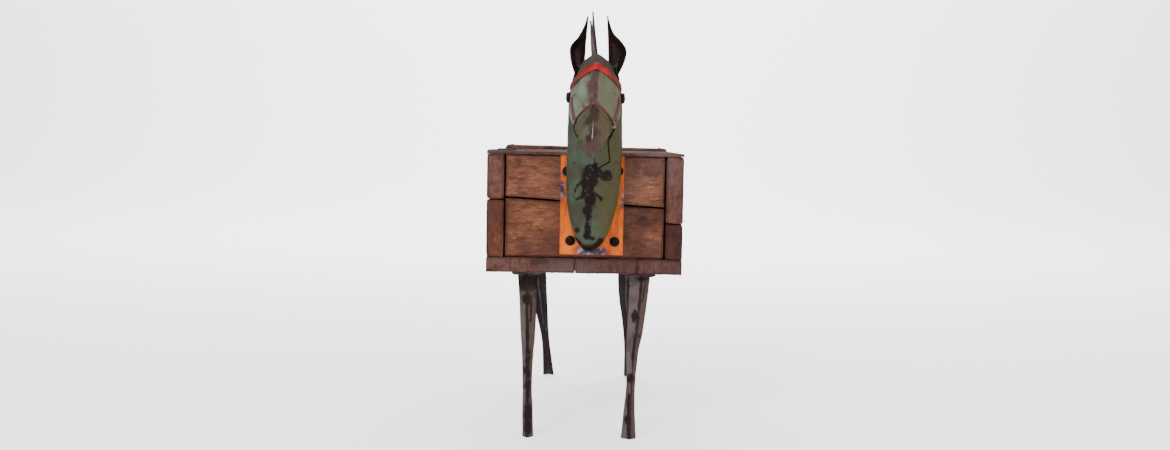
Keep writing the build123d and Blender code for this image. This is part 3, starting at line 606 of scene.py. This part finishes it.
def neck_rows(side, n_t, n_s):
    """Rows up half a neck: behind the joint with the head, and below the sloping poll."""
    def at(t, share):
        first = root(lambda q: -past_joint(neck_point(t, q, side)), 0.0, 1.0)
        return neck_point(t, first + share * (1.0 - first), side)

    def over_poll(t, share):
        _, y, z = at(t, share)
        return z - (POLL_Z - (POLL_FORWARD - (FRONT_Y - y)) * math.tan(HEAD_LEAN))

    last = len(NECK_STATIONS) - 1.0
    tops = [root(lambda t: over_poll(t, j / n_s), NECK_FULL_T, last) for j in range(n_s + 1)]
    return [[at(tops[j] * i / n_t, j / n_s) for j in range(n_s + 1)] for i in range(n_t + 1)]


def head_at(t, share, side, offset=0.0):
    """A point on the head, share running from the ridge to the jaw or the joint with the neck."""
    last = root(lambda q: -past_joint(head_point(t, q, side)), 0.0, 1.0)
    return head_point(t, share * last, side, offset)


def nose_t(share, side=1, lift=0.0):
    """The station value where the nose plane, raised by lift, crosses the head."""
    forward, z0, lean = NOSE_CUT

    def below(t):
        _, y, z = head_at(t, share, side)
        return lift - (y - (FRONT_Y - forward)) * math.sin(lean) - (z - z0) * math.cos(lean)

    return root(below, 2.0, LAST)


def head_rows(side, start, end, n_t, n_s):
    """Rows down half a head between two station values, given as functions of the share."""
    rows = []
    for i in range(n_t + 1):
        row = []
        for j in range(n_s + 1):
            t0, t1 = start[j], end[j]
            row.append(head_at(t0 + (t1 - t0) * i / n_t, j / n_s, side))
        rows.append(row)
    return rows


def near_ridge(reach):
    return lambda i, j, p: max(0.0, 1.0 - j / reach)


# ---- the pieces' materials ---------------------------------------------------------------------
def high(s, y_mm, z_mm, colour, tint):
    """A darker tint above the sloping plane of the brow."""
    rise = s.times(s.less(s.axis("Z"), z_mm * MM), math.cos(HEAD_LEAN))
    back = s.times(s.less(s.axis("Y"), y_mm * MM), math.sin(HEAD_LEAN))
    return s.mix(s.times(s.ramp(s.plus(rise, back), 0.0, 0.003), 0.85), colour, tint)


def ends(s, colour, middle, tint):
    """A darker tint towards the ends of a band."""
    off = s.math("ABSOLUTE", s.less(s.axis("X"), middle * MM))
    off = s.plus(off, s.times(s.less(s.noise(150.0), 0.5), 0.012))
    return s.mix(s.times(s.ramp(off, 0.012, 0.024), 0.85), colour, tint)


def neck_sides(s, colour):
    """Greener on the left, more olive on the right, darker at the top."""
    x = s.axis("X")
    right = s.ramp(s.plus(x, s.times(s.less(s.noise(20.0), 0.5), 0.03)), 0.004, 0.030)
    colour = s.mix(s.times(right, 0.8), colour, (0.056, 0.048, 0.018))
    return high(s, -197, 497, colour, (0.028, 0.022, 0.018))


def face_sides(s, colour):
    """Teal on the left, greyer green on the right."""
    right = s.ramp(s.axis("X"), 0.006, 0.020)
    colour = s.mix(s.times(right, 0.75), colour, (0.098, 0.092, 0.050))
    return high(s, -229.5, 520, colour, (0.050, 0.040, 0.036))


def muzzle_sides(s, colour):
    """Browner on the right."""
    right = s.ramp(s.axis("X"), 0.004, 0.018)
    return s.mix(s.times(right, 0.8), colour, (0.072, 0.054, 0.026))


def plate_wear(s, colour):
    """Blue-grey bare patches low in the middle and at the plate's edges."""
    spots = (
        ((11, -149, 262), 13, 5, 18, (0.55, 1, 1.2)), ((-33, -149, 352), 5, 4, 14, (1, 1, 0.35)),
        ((54, -149, 336), 4, 4, 14, (1, 1, 0.35)), ((-30, -149, 374), 4, 3, 10, (1, 1, 0.7)),
    )
    mask = s.union(*[s.ball(*spot) for spot in spots])
    tint = s.mix(s.ramp(s.noise(90.0, 5.0, 0.6), 0.46, 0.66), (0.040, 0.028, 0.045), (0.26, 0.22, 0.24))
    grain = s.noise(30.0, 6.0, 0.7, s.stretch((9, 1, 1)))
    colour = s.mix(s.times(s.ramp(grain, 0.46, 0.64), 0.75), colour, (0.36, 0.045, 0.001))
    return s.mix(mask, colour, tint)


# Dark marks on the neck: rust stains and old lettering; at heights 355 to 390, just below the nose tip, they
# are the painted shadow of the nose over rust.
NECK_MARKS = (
    ((6.5, -219, 372), 11.5, 1.6, 13, (1, 0.3, 0.66)), ((1.5, -219, 362), 7.5, 1.4, 11, (1, 0.3, 0.8)),
    ((17, -220, 377), 7.0, 1.5, 11, (1, 0.3, 1)), ((28, -213, 373), 8.5, 1.6, 13, (1, 0.3, 1.15)),
    ((12, -220, 386), (6, -220, 372), 5.0, 1.2, 10), ((5, -216, 356), (6.5, -212, 348), 5.5, 1.2, 11),
    ((6.8, -211, 341), 8.0, 1.5, 12, (1, 0.3, 0.6)), ((13, -211, 348), 4.0, 1.4, 9, (1, 0.3, 1)),
    ((5.5, -208, 332), (3.5, -190, 290), 3.6, 0.9, 10), ((2, -201, 324), 5.0, 1.4, 10, (1, 0.3, 0.7)),
    ((4.5, -190, 300), (2.5, -186, 287), 4.4, 1.0, 9),
    ((-3, -219, 376), (-6, -215, 363), 2.4, 0.8, 7), ((-6, -215, 363), (-13, -209, 355), 2.4, 0.8, 7),
    ((-13, -209, 355), (-16, -206, 344), 2.6, 0.8, 7), ((-16, -206, 344), (-13, -205, 337), 2.2, 0.8, 6),
    ((-13, -205, 339), (-4, -209, 343), 2.2, 0.8, 7), ((-4, -209, 343), (-2, -211, 354), 2.2, 0.8, 7),
    ((14, -213, 350), (23, -206, 340), 1.6, 0.7, 7), ((-10, -180, 295), 4.0, 1.6, 7, (1, 0.3, 1)),
    ((3, -184, 287), (12, -180, 284), 3.2, 1.0, 8),
    ((-12, -168, 278), (-2, -160, 268), 6.2, 2.0, 10), ((-2, -163, 269), (14, -163, 267), 7.0, 2.0, 9),
    ((14, -165, 270), (23, -170, 279), 5.6, 2.0, 10), ((-16, -208, 389), 2.0, 0.6, 3, (1, 0.3, 1)),
    ((-10, -216, 392), 1.6, 0.5, 2, (1, 0.3, 1)),
)
BARE = (0.070, 0.036, 0.035)
FACE_LINES = (
    ((14, -237, 499), (28, -222, 488), 0.8, 0.4, 3, (0.02, 0.012, 0.01)),
    ((28, -222, 488), (39, -208, 478), 0.8, 0.4, 3, (0.02, 0.012, 0.01)),
    ((20, -240, 480), (21, -243, 474), 0.7, 0.4, 2, (0.03, 0.02, 0.016)),
    ((33, -232, 470), (34, -234, 463), 0.7, 0.4, 2, (0.03, 0.02, 0.016)),
)
FACE_BARE = (
    ((5, -245, 492), 7, 3, 12, (1, 0.3, 0.55), BARE), ((9, -238, 506), 5, 2, 9, (1, 0.3, 0.6), BARE),
    ((7, -258, 474), 6, 3, 10, (1, 0.3, 1), BARE), ((-14, -240, 506), 4, 2, 12, (1, 0.3, 1), BARE),
    ((-18, -228, 482), 2.5, 1, 6, (1, 0.3, 1), (0.04, 0.025, 0.02)),
    ((-7, -236, 487), 6, 5, 8, (1, 0.3, 0.8), (0.130, 0.200, 0.135)),
    ((-12, -222, 470), 4, 4, 8, (1, 0.3, 0.8), (0.125, 0.185, 0.125)),
)
MUZZLE_BARE = (
    ((10, -272, 457), 7, 3, 12, (1, 0.3, 0.7), (0.034, 0.017, 0.014)),
    ((3, -275, 446), 5, 2, 10, (1, 0.3, 0.7), (0.034, 0.017, 0.014)),
    ((7, -290, 413), 11, 4, 16, (0.8, 0.3, 1), (0.058, 0.034, 0.032)),
    ((3, -284, 424), 4, 2, 14, (1, 0.3, 0.7), (0.030, 0.016, 0.013)),
    ((12, -282, 432), 4, 2, 12, (1, 0.3, 0.6), (0.040, 0.022, 0.018)),
)
# A painted highlight: a thin pale line down the muzzle's ridge.
MUZZLE_HIGHLIGHT = (
    ((9.2, -277, 446), (8.0, -286, 424), 0.5, 0.4, 1, (0.42, 0.36, 0.32)),
)
# Dark marks on the front legs: rust stains and streaks. The two level bands at heights 214 to 224 are painted
# shade at the tops of the legs, under the chest.
LEG_MARKS = (
    ((75, -144, 170), 6.5, 1.5, 13, (1, 0.4, 0.8)), ((69, -160, 84), 5.5, 1.5, 10, (1, 0.4, 0.8)),
    ((66, -172, 26), 5.5, 1.5, 10, (1, 0.4, 0.75)), ((84, -137, 224), (81, -140, 182), 1.3, 0.8, 5),
    ((89, -134, 218), (85, -138, 192), 1.1, 0.8, 5),
    ((80, -140, 224), (96, -140, 224), 3.0, 3.0, 4), ((75, -146, 140), (72, -152, 110), 2.2, 1.2, 5),
    ((67, -165, 60), (67, -172, 2), 2.2, 1.0, 5),
    ((-81, -134, 193), 7, 2, 13, (1, 0.4, 0.85)), ((-90, -135, 214), (-68, -135, 217), 12.0, 6.0, 14),
    ((-74, -137, 196), (-75, -146, 160), 1.2, 0.8, 5),
    ((-80, -136, 186), (-78, -150, 120), 2.2, 1.2, 7), ((-78, -152, 118), (-77, -158, 84), 3.2, 1.5, 10),
    ((-79, -156, 92), 5, 1.5, 11, (1, 0.4, 0.8)), ((-77, -158, 78), (-76, -166, 46), 3.0, 1.5, 12),
    ((-76, -166, 42), (-75, -174, 10), 5.0, 1.5, 12),
)


def leg_sides(s, colour):
    """The sheet's right-hand side is browner."""
    right = s.ramp(s.attribute("edge"), 0.1, 0.28)
    colour = s.mix(s.times(right, 0.8), colour, (0.062, 0.034, 0.027))
    pale = s.ramp(s.noise(80.0, 6.0, 0.7), 0.60, 0.70)
    return s.mix(s.times(pale, 0.35), colour, (0.20, 0.16, 0.15))


# Base, pale and dark tints, the fibres' axis, the share of grey, the pattern's shift, and paler patches.
WOODS = {
    "wood_x": ((0.088, 0.027, 0.015), (0.185, 0.064, 0.027), (0.026, 0.008, 0.006), "X", 0.15, 0.0, (
        ((-69, -148, 312), 26, 16, 26, (0.8, 0.2, 1)), ((100, -148, 285), 12, 8, 16, (1, 0.2, 1)),
        ((-100, -148, 280), 12, 10, 16, (1, 0.2, 1)),
    )),
    "wood_x2": ((0.108, 0.036, 0.022), (0.235, 0.085, 0.040), (0.032, 0.010, 0.008), "X", 0.2, 3.7, (
        ((-69, -148, 368), 22, 18, 26, (0.8, 0.2, 1)), ((84, -148, 352), 20, 14, 26, (0.8, 0.2, 1)),
        ((-105, -148, 350), 10, 8, 16, (1, 0.2, 1)),
    )),
    "wood_y": ((0.092, 0.034, 0.025), (0.150, 0.061, 0.043), (0.032, 0.012, 0.010), "Y", 0.5, 1.3),
    "wood_y2": ((0.082, 0.022, 0.012), (0.140, 0.043, 0.019), (0.026, 0.008, 0.006), "Y", 0.15, 5.1),
    "wood_y3": ((0.050, 0.012, 0.008), (0.080, 0.023, 0.014), (0.018, 0.006, 0.005), "Y", 0.15, 7.7),
    "wood_low": ((0.068, 0.024, 0.018), (0.110, 0.045, 0.034), (0.020, 0.008, 0.007), "Y", 0.35, 2.9),
    "wood_top": ((0.075, 0.034, 0.026), (0.120, 0.058, 0.044), (0.028, 0.012, 0.010), "Y", 0.7, 9.1),
    "wood_z": ((0.12, 0.048, 0.032), (0.2, 0.09, 0.05), (0.040, 0.016, 0.012), "Z", 0.3, 2.2),
}
# Base, second, worn and rust tints (the rust tint also paints shade in the neck's and front legs' marks),
# wear and gloss, then stains, painted shade and highlight and the like by name.
PAINTS = {
    "plate": (
        (0.66, 0.130, 0.0015), (0.50, 0.080, 0.001), (0.42, 0.12, 0.02), (0.08, 0.028, 0.016), 0.28, 0.48,
        {"bands": plate_wear},
    ),
    "neck": (
        (0.046, 0.062, 0.040), (0.036, 0.036, 0.022), (0.040, 0.032, 0.019), (0.010, 0.0045, 0.0035),
        0.22, 0.30, {"marks": NECK_MARKS, "bands": neck_sides},
    ),
    "face": (
        (0.150, 0.182, 0.125), (0.098, 0.100, 0.064), (0.052, 0.026, 0.025), (0.028, 0.014, 0.012),
        0.42, 0.40, {"cuts": FACE_BARE, "bands": face_sides, "lines": FACE_LINES},
    ),
    "muzzle": (
        (0.070, 0.078, 0.048), (0.055, 0.047, 0.022), (0.036, 0.018, 0.017), (0.022, 0.010, 0.008),
        0.52, 0.40, {"cuts": MUZZLE_BARE, "bands": muzzle_sides, "lines": MUZZLE_HIGHLIGHT},
    ),
    "roof": (
        (0.060, 0.050, 0.046), (0.040, 0.036, 0.032), (0.08, 0.05, 0.05), (0.02, 0.010, 0.009), 0.4, 0.45, {},
    ),
    "red": (
        (0.44, 0.009, 0.008), (0.28, 0.007, 0.006), (0.12, 0.018, 0.015), (0.04, 0.010, 0.008), 0.30, 0.42,
        {"bands": lambda s, c: ends(s, c, 12, (0.095, 0.022, 0.020))},
    ),
    "dull_red": (
        (0.115, 0.026, 0.024), (0.065, 0.016, 0.015), (0.045, 0.017, 0.016), (0.02, 0.008, 0.007), 0.4, 0.42,
        {"bands": lambda s, c: ends(s, c, 10, (0.030, 0.010, 0.009))},
    ),
    "strap": (
        (0.120, 0.038, 0.044), (0.070, 0.023, 0.027), (0.05, 0.025, 0.025), (0.02, 0.010, 0.008),
        0.4, 0.42, {},
    ),
    "ear": (
        (0.009, 0.003, 0.003), (0.016, 0.005, 0.0045), (0.045, 0.018, 0.014), (0.005, 0.0025, 0.0025),
        0.34, 0.42, {},
    ),
    "mane": (
        (0.125, 0.080, 0.076), (0.065, 0.038, 0.036), (0.046, 0.024, 0.022), (0.025, 0.012, 0.010),
        0.35, 0.45, {},
    ),
    "leg_front": (
        (0.100, 0.072, 0.073), (0.066, 0.045, 0.043), (0.022, 0.011, 0.009), (0.012, 0.006, 0.005),
        0.42, 0.42, {"marks": LEG_MARKS, "bands": leg_sides},
    ),
    # The rear legs' tint is dark paint made darker still as painted shade under the chest; the tail, tail
    # plate and leg flanges share it.
    "leg_rear": (
        (0.028, 0.019, 0.021), (0.017, 0.012, 0.012), (0.075, 0.060, 0.062), (0.010, 0.005, 0.005),
        0.35, 0.5, {},
    ),
}
# Base and rust tints, gloss and how metallic.
STEELS = {
    "black": ((0.004, 0.005, 0.007), (0.012, 0.007, 0.006), 0.45, 0.2),
    "steel": ((0.09, 0.075, 0.068), (0.045, 0.020, 0.014), 0.5, 0.5),
    "wire": ((0.006, 0.005, 0.005), (0.012, 0.006, 0.005), 0.5, 0.3),
    "rivet": ((0.20, 0.13, 0.12), (0.06, 0.03, 0.025), 0.4, 0.5),
}
SEEN = {look: wood(look, *values) for look, values in WOODS.items()}
SEEN.update({look: painted(look, *values[:-1], **values[-1]) for look, values in PAINTS.items()})
SEEN.update({look: steel(look, *values) for look, values in STEELS.items()})


# ---- the chest ---------------------------------------------------------------------------------
BOTTOM_GROW = 1.2
SEAM_HALF = 0.9
SEAM_ENDS = ((-113.2, 338.5), (113.0, 326.0))
RAIL_TOP = 409.75
RAIL_FALL = 2.5 / 280.0


def seam_z(x):
    (x0, z0), (x1, z1) = SEAM_ENDS
    return z0 + (z1 - z0) * (x - x0) / (x1 - x0)


def below_seam(x, z, lo, hi):
    return lo + (z - lo) * (seam_z(x) - SEAM_HALF - lo) / (hi - lo)


def above_seam(x, z, lo, hi):
    return hi - (hi - z) * (hi - seam_z(x) - SEAM_HALF) / (hi - lo)


def rail_slope(x, z, lo, hi):
    top = RAIL_TOP - RAIL_FALL * x
    return lo + (z - lo) * (top - lo) / (hi - lo)


# Node, fibres' axis, material, seed, rounding, hollow, and what else a board needs.
BOARDS = (
    ("bottom_board_left", "Y", "wood_low", 3, 0.5, 0.22, {}),
    ("bottom_board_middle", "Y", "wood_low", 4, 0.5, 0.22, {"grow": BOTTOM_GROW}),
    ("bottom_board_right", "Y", "wood_low", 5, 0.5, 0.22, {}),
    ("side_board_left_lower", "Y", "wood_y2", 11, 0.8, 0.35, {}),
    ("side_board_left_upper", "Y", "wood_y", 12, 0.8, 0.35, {}),
    ("side_board_right_lower", "Y", "wood_y3", 13, 0.8, 0.35, {}),
    ("side_board_right_upper", "Y", "wood_y", 14, 0.8, 0.35, {}),
    ("front_board_lower", "X", "wood_x", 21, 1.0, 0.35, {"shear": below_seam}),
    ("front_board_upper", "X", "wood_x2", 25, 1.0, 0.35, {"shear": above_seam}),
    ("rear_board_lower", "X", "wood_x", 22, 1.0, 0.35, {"shear": below_seam}),
    ("rear_board_upper", "X", "wood_x2", 26, 1.0, 0.35, {"shear": above_seam}),
    ("tail_rail", "X", "wood_x2", 31, 2.0, 0.6, {"shear": rail_slope}),
    ("lid_cleat_front", "X", "wood_x", 41, 1.0, 0.4, {"body": "lid", "step": 6.0}),
    ("lid_cleat_rear", "X", "wood_x", 41, 1.0, 0.4, {"body": "lid", "step": 6.0}),
)
for node, grain, look, seed, rounding, hollow, more in BOARDS:
    plank(node, grain, SEEN[look], seed, rounding, hollow, **more)


# ---- neck and head -----------------------------------------------------------------------------
def keep_side(rows, side):
    """Turns the rows round on the left or right, so that every sheet's face looks outwards."""
    return rows if side < 0 else rows[::-1]


NECK_GRID = (90, 40)
HEAD_ROWS, SHARES = 44, 34
HEAD_START = 0.05
NOSE_GAP = 0.01
NOSE_TS = [nose_t(j / SHARES) for j in range(SHARES + 1)]
for name, side in (("left", -1), ("right", 1)):
    rows = neck_rows(side, *NECK_GRID)
    neck = grid_sheet(f"vis_neck_{name}", keep_side(rows, side), SHEET_T, SEEN["neck"], 5 + side, 1.1)
    stand_for(neck, [f"neck_{name}"])
    rows = head_rows(side, [HEAD_START] * (SHARES + 1), [t - NOSE_GAP for t in NOSE_TS], HEAD_ROWS, SHARES)
    face = grid_sheet(
        f"vis_face_{name}", keep_side(rows, -side), SHEET_T, SEEN["face"], 9 + side, 0.9,
        near_ridge(0.30), lambda i, j: 0.0,
    )
    stand_for(face, [f"face_{name}"])
    rows = head_rows(side, [t + NOSE_GAP for t in NOSE_TS], [LAST] * (SHARES + 1), HEAD_ROWS, SHARES)
    muzzle = grid_sheet(
        f"vis_muzzle_{name}", keep_side(rows, -side), SHEET_T, SEEN["muzzle"], 15 + side, 0.8,
        near_ridge(0.34), lambda i, j: 0.0,
    )
    stand_for(muzzle, [f"muzzle_{name}"])


BROW_T = 0.98
BAND_HALF_ROWS = 3
BAND_SHEET = 1.2
BAND_CROWN = 0.45


def band(name, centre, half_width, lift, material, seed):
    """A strip of sheet round the head, centre giving the station value for each share."""
    rows = []
    for i in range(2 * BAND_HALF_ROWS + 1):
        across = i / BAND_HALF_ROWS - 1.0
        row = []
        for j in range(-SHARES, SHARES + 1):
            bulge = lift * (1.0 - BAND_CROWN * across ** 2)
            t = centre[abs(j)] + across * half_width
            row.append(head_at(t, abs(j) / SHARES, -1 if j < 0 else 1, bulge))
        rows.append(row)
    strip = grid_sheet("vis_" + name, rows[::-1], BAND_SHEET, material, seed, 0.3, None, lambda i, j: 0.0)
    return stand_for(strip, [name])


band("brow_band", [BROW_T] * (SHARES + 1), 0.17, 1.8, SEEN["red"], 51)
band("nose_band", [nose_t(j / SHARES, 1, 2.5) for j in range(SHARES + 1)], 0.11, 1.6, SEEN["dull_red"], 52)


# ---- the mane ----------------------------------------------------------------------------------
MANE_ROWS, MANE_COLUMNS = 60, 16
MANE_ROOT = 6.0
MANE_SHEET = 1.4
MANE_TURN, MANE_UNTURN = 12.0, 4.0
MANE_WAVE = 0.5
# Foot's place across, lean in degrees, and the rear and front outlines as (forward, height).
MANE = {
    "left": (
        12.5, 6.2,
        ((24.0, 498.0), (28.0, 545.0), (36.5, 584.5)), ((58.0, 520.0), (48.0, 552.0), (38.0, 584.2)),
    ),
    "right": (
        13.4, 3.9,
        ((7.0, 455.0), (11.0, 535.0), (24.5, 598.3)), ((46.0, 520.0), (37.0, 552.0), (26.0, 598.2)),
    ),
}


def mane_leaf(name):
    """A pointed leaf on edge, twisted towards its foot and a little corrugated."""
    x0, splay, rear, front = MANE[name]
    foot = front[0][1]
    top = rear[-1][1]
    rows = []
    for i in range(MANE_ROWS + 1):
        z = foot - MANE_ROOT + (top - foot + MANE_ROOT) * i / MANE_ROWS
        back, fore = curve_x(rear, z), curve_x(front, z)
        middle = (rear[0][0] + front[0][0]) / 2
        row = []
        for j in range(MANE_COLUMNS + 1):
            forward = back + (fore - back) * j / MANE_COLUMNS
            turn = math.radians(MANE_TURN - MANE_UNTURN * i / MANE_ROWS)
            x = x0 - math.tan(math.radians(splay)) * (z - foot) + math.sin(turn) * (forward - middle)
            x += MANE_WAVE * math.sin(9.0 * j / MANE_COLUMNS + 0.02 * z) - 0.9
            row.append((x, FRONT_Y - forward, z))
        rows.append(row)
    leaf = grid_sheet(f"vis_mane_{name}", rows, MANE_SHEET, SEEN["mane"], 81, 0.15)
    return stand_for(leaf, [f"mane_{name}"])


EYE_Y = -196.0
EYE_Z = 479.0
EYE_TURNS = 28
# The boss from its base to its last ring: radius, and distance from the head's middle. Then its crown.
EYE_PROFILE = ((7.5, 33.5), (7.5, 37.4), (7.2, 38.6), (6.0, 39.7), (4.2, 40.4), (2.2, 40.7))
EYE_CROWN = 40.8


def eye(name, side):
    """A low domed boss at the side of the head, set into the sheet."""
    verts, faces = [], []
    for r, out in EYE_PROFILE:
        for k in range(EYE_TURNS):
            a = 2 * math.pi * k / EYE_TURNS
            verts.append((HEAD_X + side * out, EYE_Y + r * math.cos(a), EYE_Z + r * math.sin(a)))
    crown = len(verts)
    verts.append((HEAD_X + side * EYE_CROWN, EYE_Y, EYE_Z))
    for i in range(len(EYE_PROFILE)):
        for k in range(EYE_TURNS):
            a, b = i * EYE_TURNS + k, i * EYE_TURNS + (k + 1) % EYE_TURNS
            face = (a, b, crown) if i == len(EYE_PROFILE) - 1 else (a, b, b + EYE_TURNS, a + EYE_TURNS)
            faces.append(face if side > 0 else face[::-1])
    faces.append(tuple(range(EYE_TURNS))[:: -side])
    obj = object_from(f"vis_eye_{name}", verts, faces, SEEN["ear"])
    return stand_for(obj, [f"eye_{name}"])


eye("left", -1)
eye("right", 1)


# ---- ears --------------------------------------------------------------------------------------
# Inner and outer outline of each ear from base to tip, as (across, height).
EARS = {
    "left": (
        ((-4.0, 504.0), (-3.4, 528.0), (-1.6, 560.0), (0.9, 590.4)),
        (
            (-14.0, 504.0), (-21.5, 522.0), (-24.7, 540.5), (-22.5, 550.5), (-13.5, 561.0), (-5.0, 577.0),
            (-1.2, 590.0),
        ),
    ),
    "right": (
        ((28.5, 504.0), (28.3, 528.0), (27.2, 560.0), (25.2, 590.4)),
        (
            (39.0, 504.0), (49.5, 525.0), (53.3, 543.0), (46.5, 555.5), (35.5, 566.5), (29.9, 580.0),
            (27.3, 590.0),
        ),
    ),
}
EAR_Y = FRONT_Y - 52.0
EAR_FOOT_Z = 506.0
EAR_TIP_Z = 590.2
EAR_ROWS, EAR_COLUMNS = 60, 18
EAR_CUP = 12.5
EAR_CURL = 4.8
EAR_CURL_FROM = 0.75
EAR_FULL_W = 22.0
EAR_SHEET = 1.2
OUTLINE_SAMPLES = 40


def curve_x(points, z):
    """x on a smooth outline at a height."""
    last = len(points) - 1
    best = [catmull(points, k / OUTLINE_SAMPLES * last) for k in range(OUTLINE_SAMPLES + 1)]
    return float(np.interp(z, [p[1] for p in best], [p[0] for p in best]))


def ear(name, side):
    """A cupped leaf of sheet with its outer edge curled forwards."""
    inner, outer = EARS[name]
    rows = []
    for i in range(EAR_ROWS + 1):
        z = EAR_FOOT_Z + (EAR_TIP_Z - EAR_FOOT_Z) * (i / EAR_ROWS)
        xi, xo = curve_x(inner, z), curve_x(outer, z)
        breadth = min(1.0, abs(xo - xi) / EAR_FULL_W)
        row = []
        for j in range(EAR_COLUMNS + 1):
            f = j / EAR_COLUMNS
            cup = EAR_CUP * math.sin(math.pi * (0.12 + 0.80 * f)) * breadth
            curl = EAR_CURL * max(0.0, f - EAR_CURL_FROM) * breadth
            row.append((xi + (xo - xi) * f, EAR_Y + cup - curl, z))
        rows.append(row)
    rows = rows if side < 0 else rows[::-1]
    sheet = grid_sheet(f"vis_ear_{name}", rows, EAR_SHEET, SEEN["ear"], 61, 0.4, None, lambda i, j: 0.0)
    return stand_for(sheet, [f"ear_{name}"])


ear("left", 1)
ear("right", -1)
mane_leaf("left")
mane_leaf("right")


# ---- legs and tail -----------------------------------------------------------------------------
LEG_SHEET = 1.7
LEG_ROWS, LEG_HALF_COLUMNS = 90, 12
FOLD_ROUND = 0.012
FOLD_LIFT = 0.11
HEM_DEPTH = 0.10
HEM_FROM = 0.85
RIDGE_W = 4.5
# Which way the fold points, how far it stands aside, and stations from the top: x, distance behind the
# chest's front face, height, width and fold depth.
LEGS = {
    "leg_front_left": (-1, -0.12, (
        (-80.5, 18.0, 229.0, 31.0, 12.0), (-80.0, 14.0, 204.6, 26.7, 11.0), (-78.6, 5.0, 148.2, 22.2, 9.0),
        (-78.1, -2.0, 113.3, 17.1, 7.5), (-77.8, -10.0, 71.5, 14.2, 6.5), (-76.5, -18.0, 37.3, 14.9, 7.0),
        (-75.3, -25.0, 0.0, 15.6, 8.0),
    )),
    "leg_front_right": (-1, 0.20, (
        (80.5, 18.0, 229.0, 33.0, 12.0), (79.5, 14.0, 207.5, 29.3, 11.0), (75.1, 5.0, 151.0, 24.4, 9.0),
        (71.2, -2.0, 116.0, 18.6, 7.5), (70.0, -10.0, 74.2, 13.8, 6.5), (68.3, -18.0, 39.9, 16.3, 7.0),
        (67.4, -25.0, 0.0, 22.0, 8.0),
    )),
    "leg_rear_left": (1, 0.0, (
        (-84.0, 370.0, 229.0, 34.0, 12.0), (-77.6, 385.0, 157.7, 28.0, 10.0), (-66.0, 410.0, 70.7, 14.7, 7.0),
        (-59.8, 430.0, 0.0, 20.1, 8.0),
    )),
    "leg_rear_right": (1, 0.0, (
        (76.0, 370.0, 229.0, 34.0, 12.0), (74.6, 385.0, 160.4, 27.6, 10.0), (80.3, 410.0, 73.4, 14.9, 7.0),
        (84.9, 430.0, 0.0, 20.1, 8.0),
    )),
    "tail": (1, 0.0, (
        (4.0, 403.0, 382.0, 20.0, 6.0), (4.0, 424.0, 368.0, 26.0, 8.0), (5.0, 441.0, 335.0, 31.0, 9.0),
        (6.0, 449.0, 285.0, 30.0, 9.0), (7.0, 447.0, 235.0, 22.0, 7.0), (7.5, 440.0, 195.0, 8.0, 3.0),
    )),
}


def folded(name, material, seed):
    """A folded strip: flat facets, a tight rounded fold and slightly turned-in edges."""
    way, lean, stations = LEGS[name]
    rows = []
    for i in range(LEG_ROWS + 1):
        x, y, z, width, depth = catmull(stations, i / LEG_ROWS * (len(stations) - 1))
        z = min(max(z, stations[-1][2]), stations[0][2])
        row = []
        for j in range(-LEG_HALF_COLUMNS, LEG_HALF_COLUMNS + 1):
            f = j / LEG_HALF_COLUMNS
            fold = 1.0 - math.sqrt(f * f + FOLD_ROUND) + FOLD_LIFT
            hem = HEM_DEPTH * max(0.0, abs(f) - HEM_FROM) / (1.0 - HEM_FROM)
            across = f + lean * (1.0 - abs(f))
            row.append((x + across * width / 2, FRONT_Y + y + way * depth * (fold - 0.5 - hem), z))
        rows.append(row)
    if way > 0:
        rows = rows[::-1]
    top, foot = stations[0], stations[-1]

    def ridge(i, j, p):
        width = top[3] + (foot[3] - top[3]) * (p[2] - top[2]) / (foot[2] - top[2])
        return max(0.0, 1.2 - abs(j - 0.5) * width / RIDGE_W)

    def side_mark(i, j):
        return 1.0 if min(j, 1.0 - j) < 0.001 else 0.3 if j > 0.5 else 0.0

    strip = grid_sheet("vis_" + name, rows, LEG_SHEET, material, seed, 0.7, ridge, side_mark)
    return stand_for(strip, [name])


folded("leg_front_left", SEEN["leg_front"], 71)
folded("leg_front_right", SEEN["leg_front"], 72)
folded("leg_rear_left", SEEN["leg_rear"], 73)
folded("leg_rear_right", SEEN["leg_rear"], 74)
folded("tail", SEEN["leg_rear"], 75)


# ---- CAD meshes that only need a better surface ------------------------------------------------
KEPT = {
    "lid_board_left": "wood_top", "lid_board_right": "wood_top", "corner_battens": "wood_z",
    "neck_plate": "plate", "plate_bolts": "black", "bolt_washers": "steel", "bolt_nuts": "steel",
    "chest_nails": "steel", "lid_nails": "steel", "hinge_wall_leaves": "steel",
    "hinge_lid_leaves": "steel", "hinge_pins": "steel", "hinge_wall_screws": "steel",
    "hinge_lid_screws": "steel", "poll_cap": "roof", "cheek_strap_left": "strap",
    "cheek_strap_right": "strap", "rein_wire": "wire", "rein_rivet": "rivet",
    "leg_flanges": "leg_rear", "leg_screws": "steel", "tail_plate": "leg_rear",
}
for node, look in KEPT.items():
    NODES[node].data.materials.clear()
    NODES[node].data.materials.append(SEEN[look])
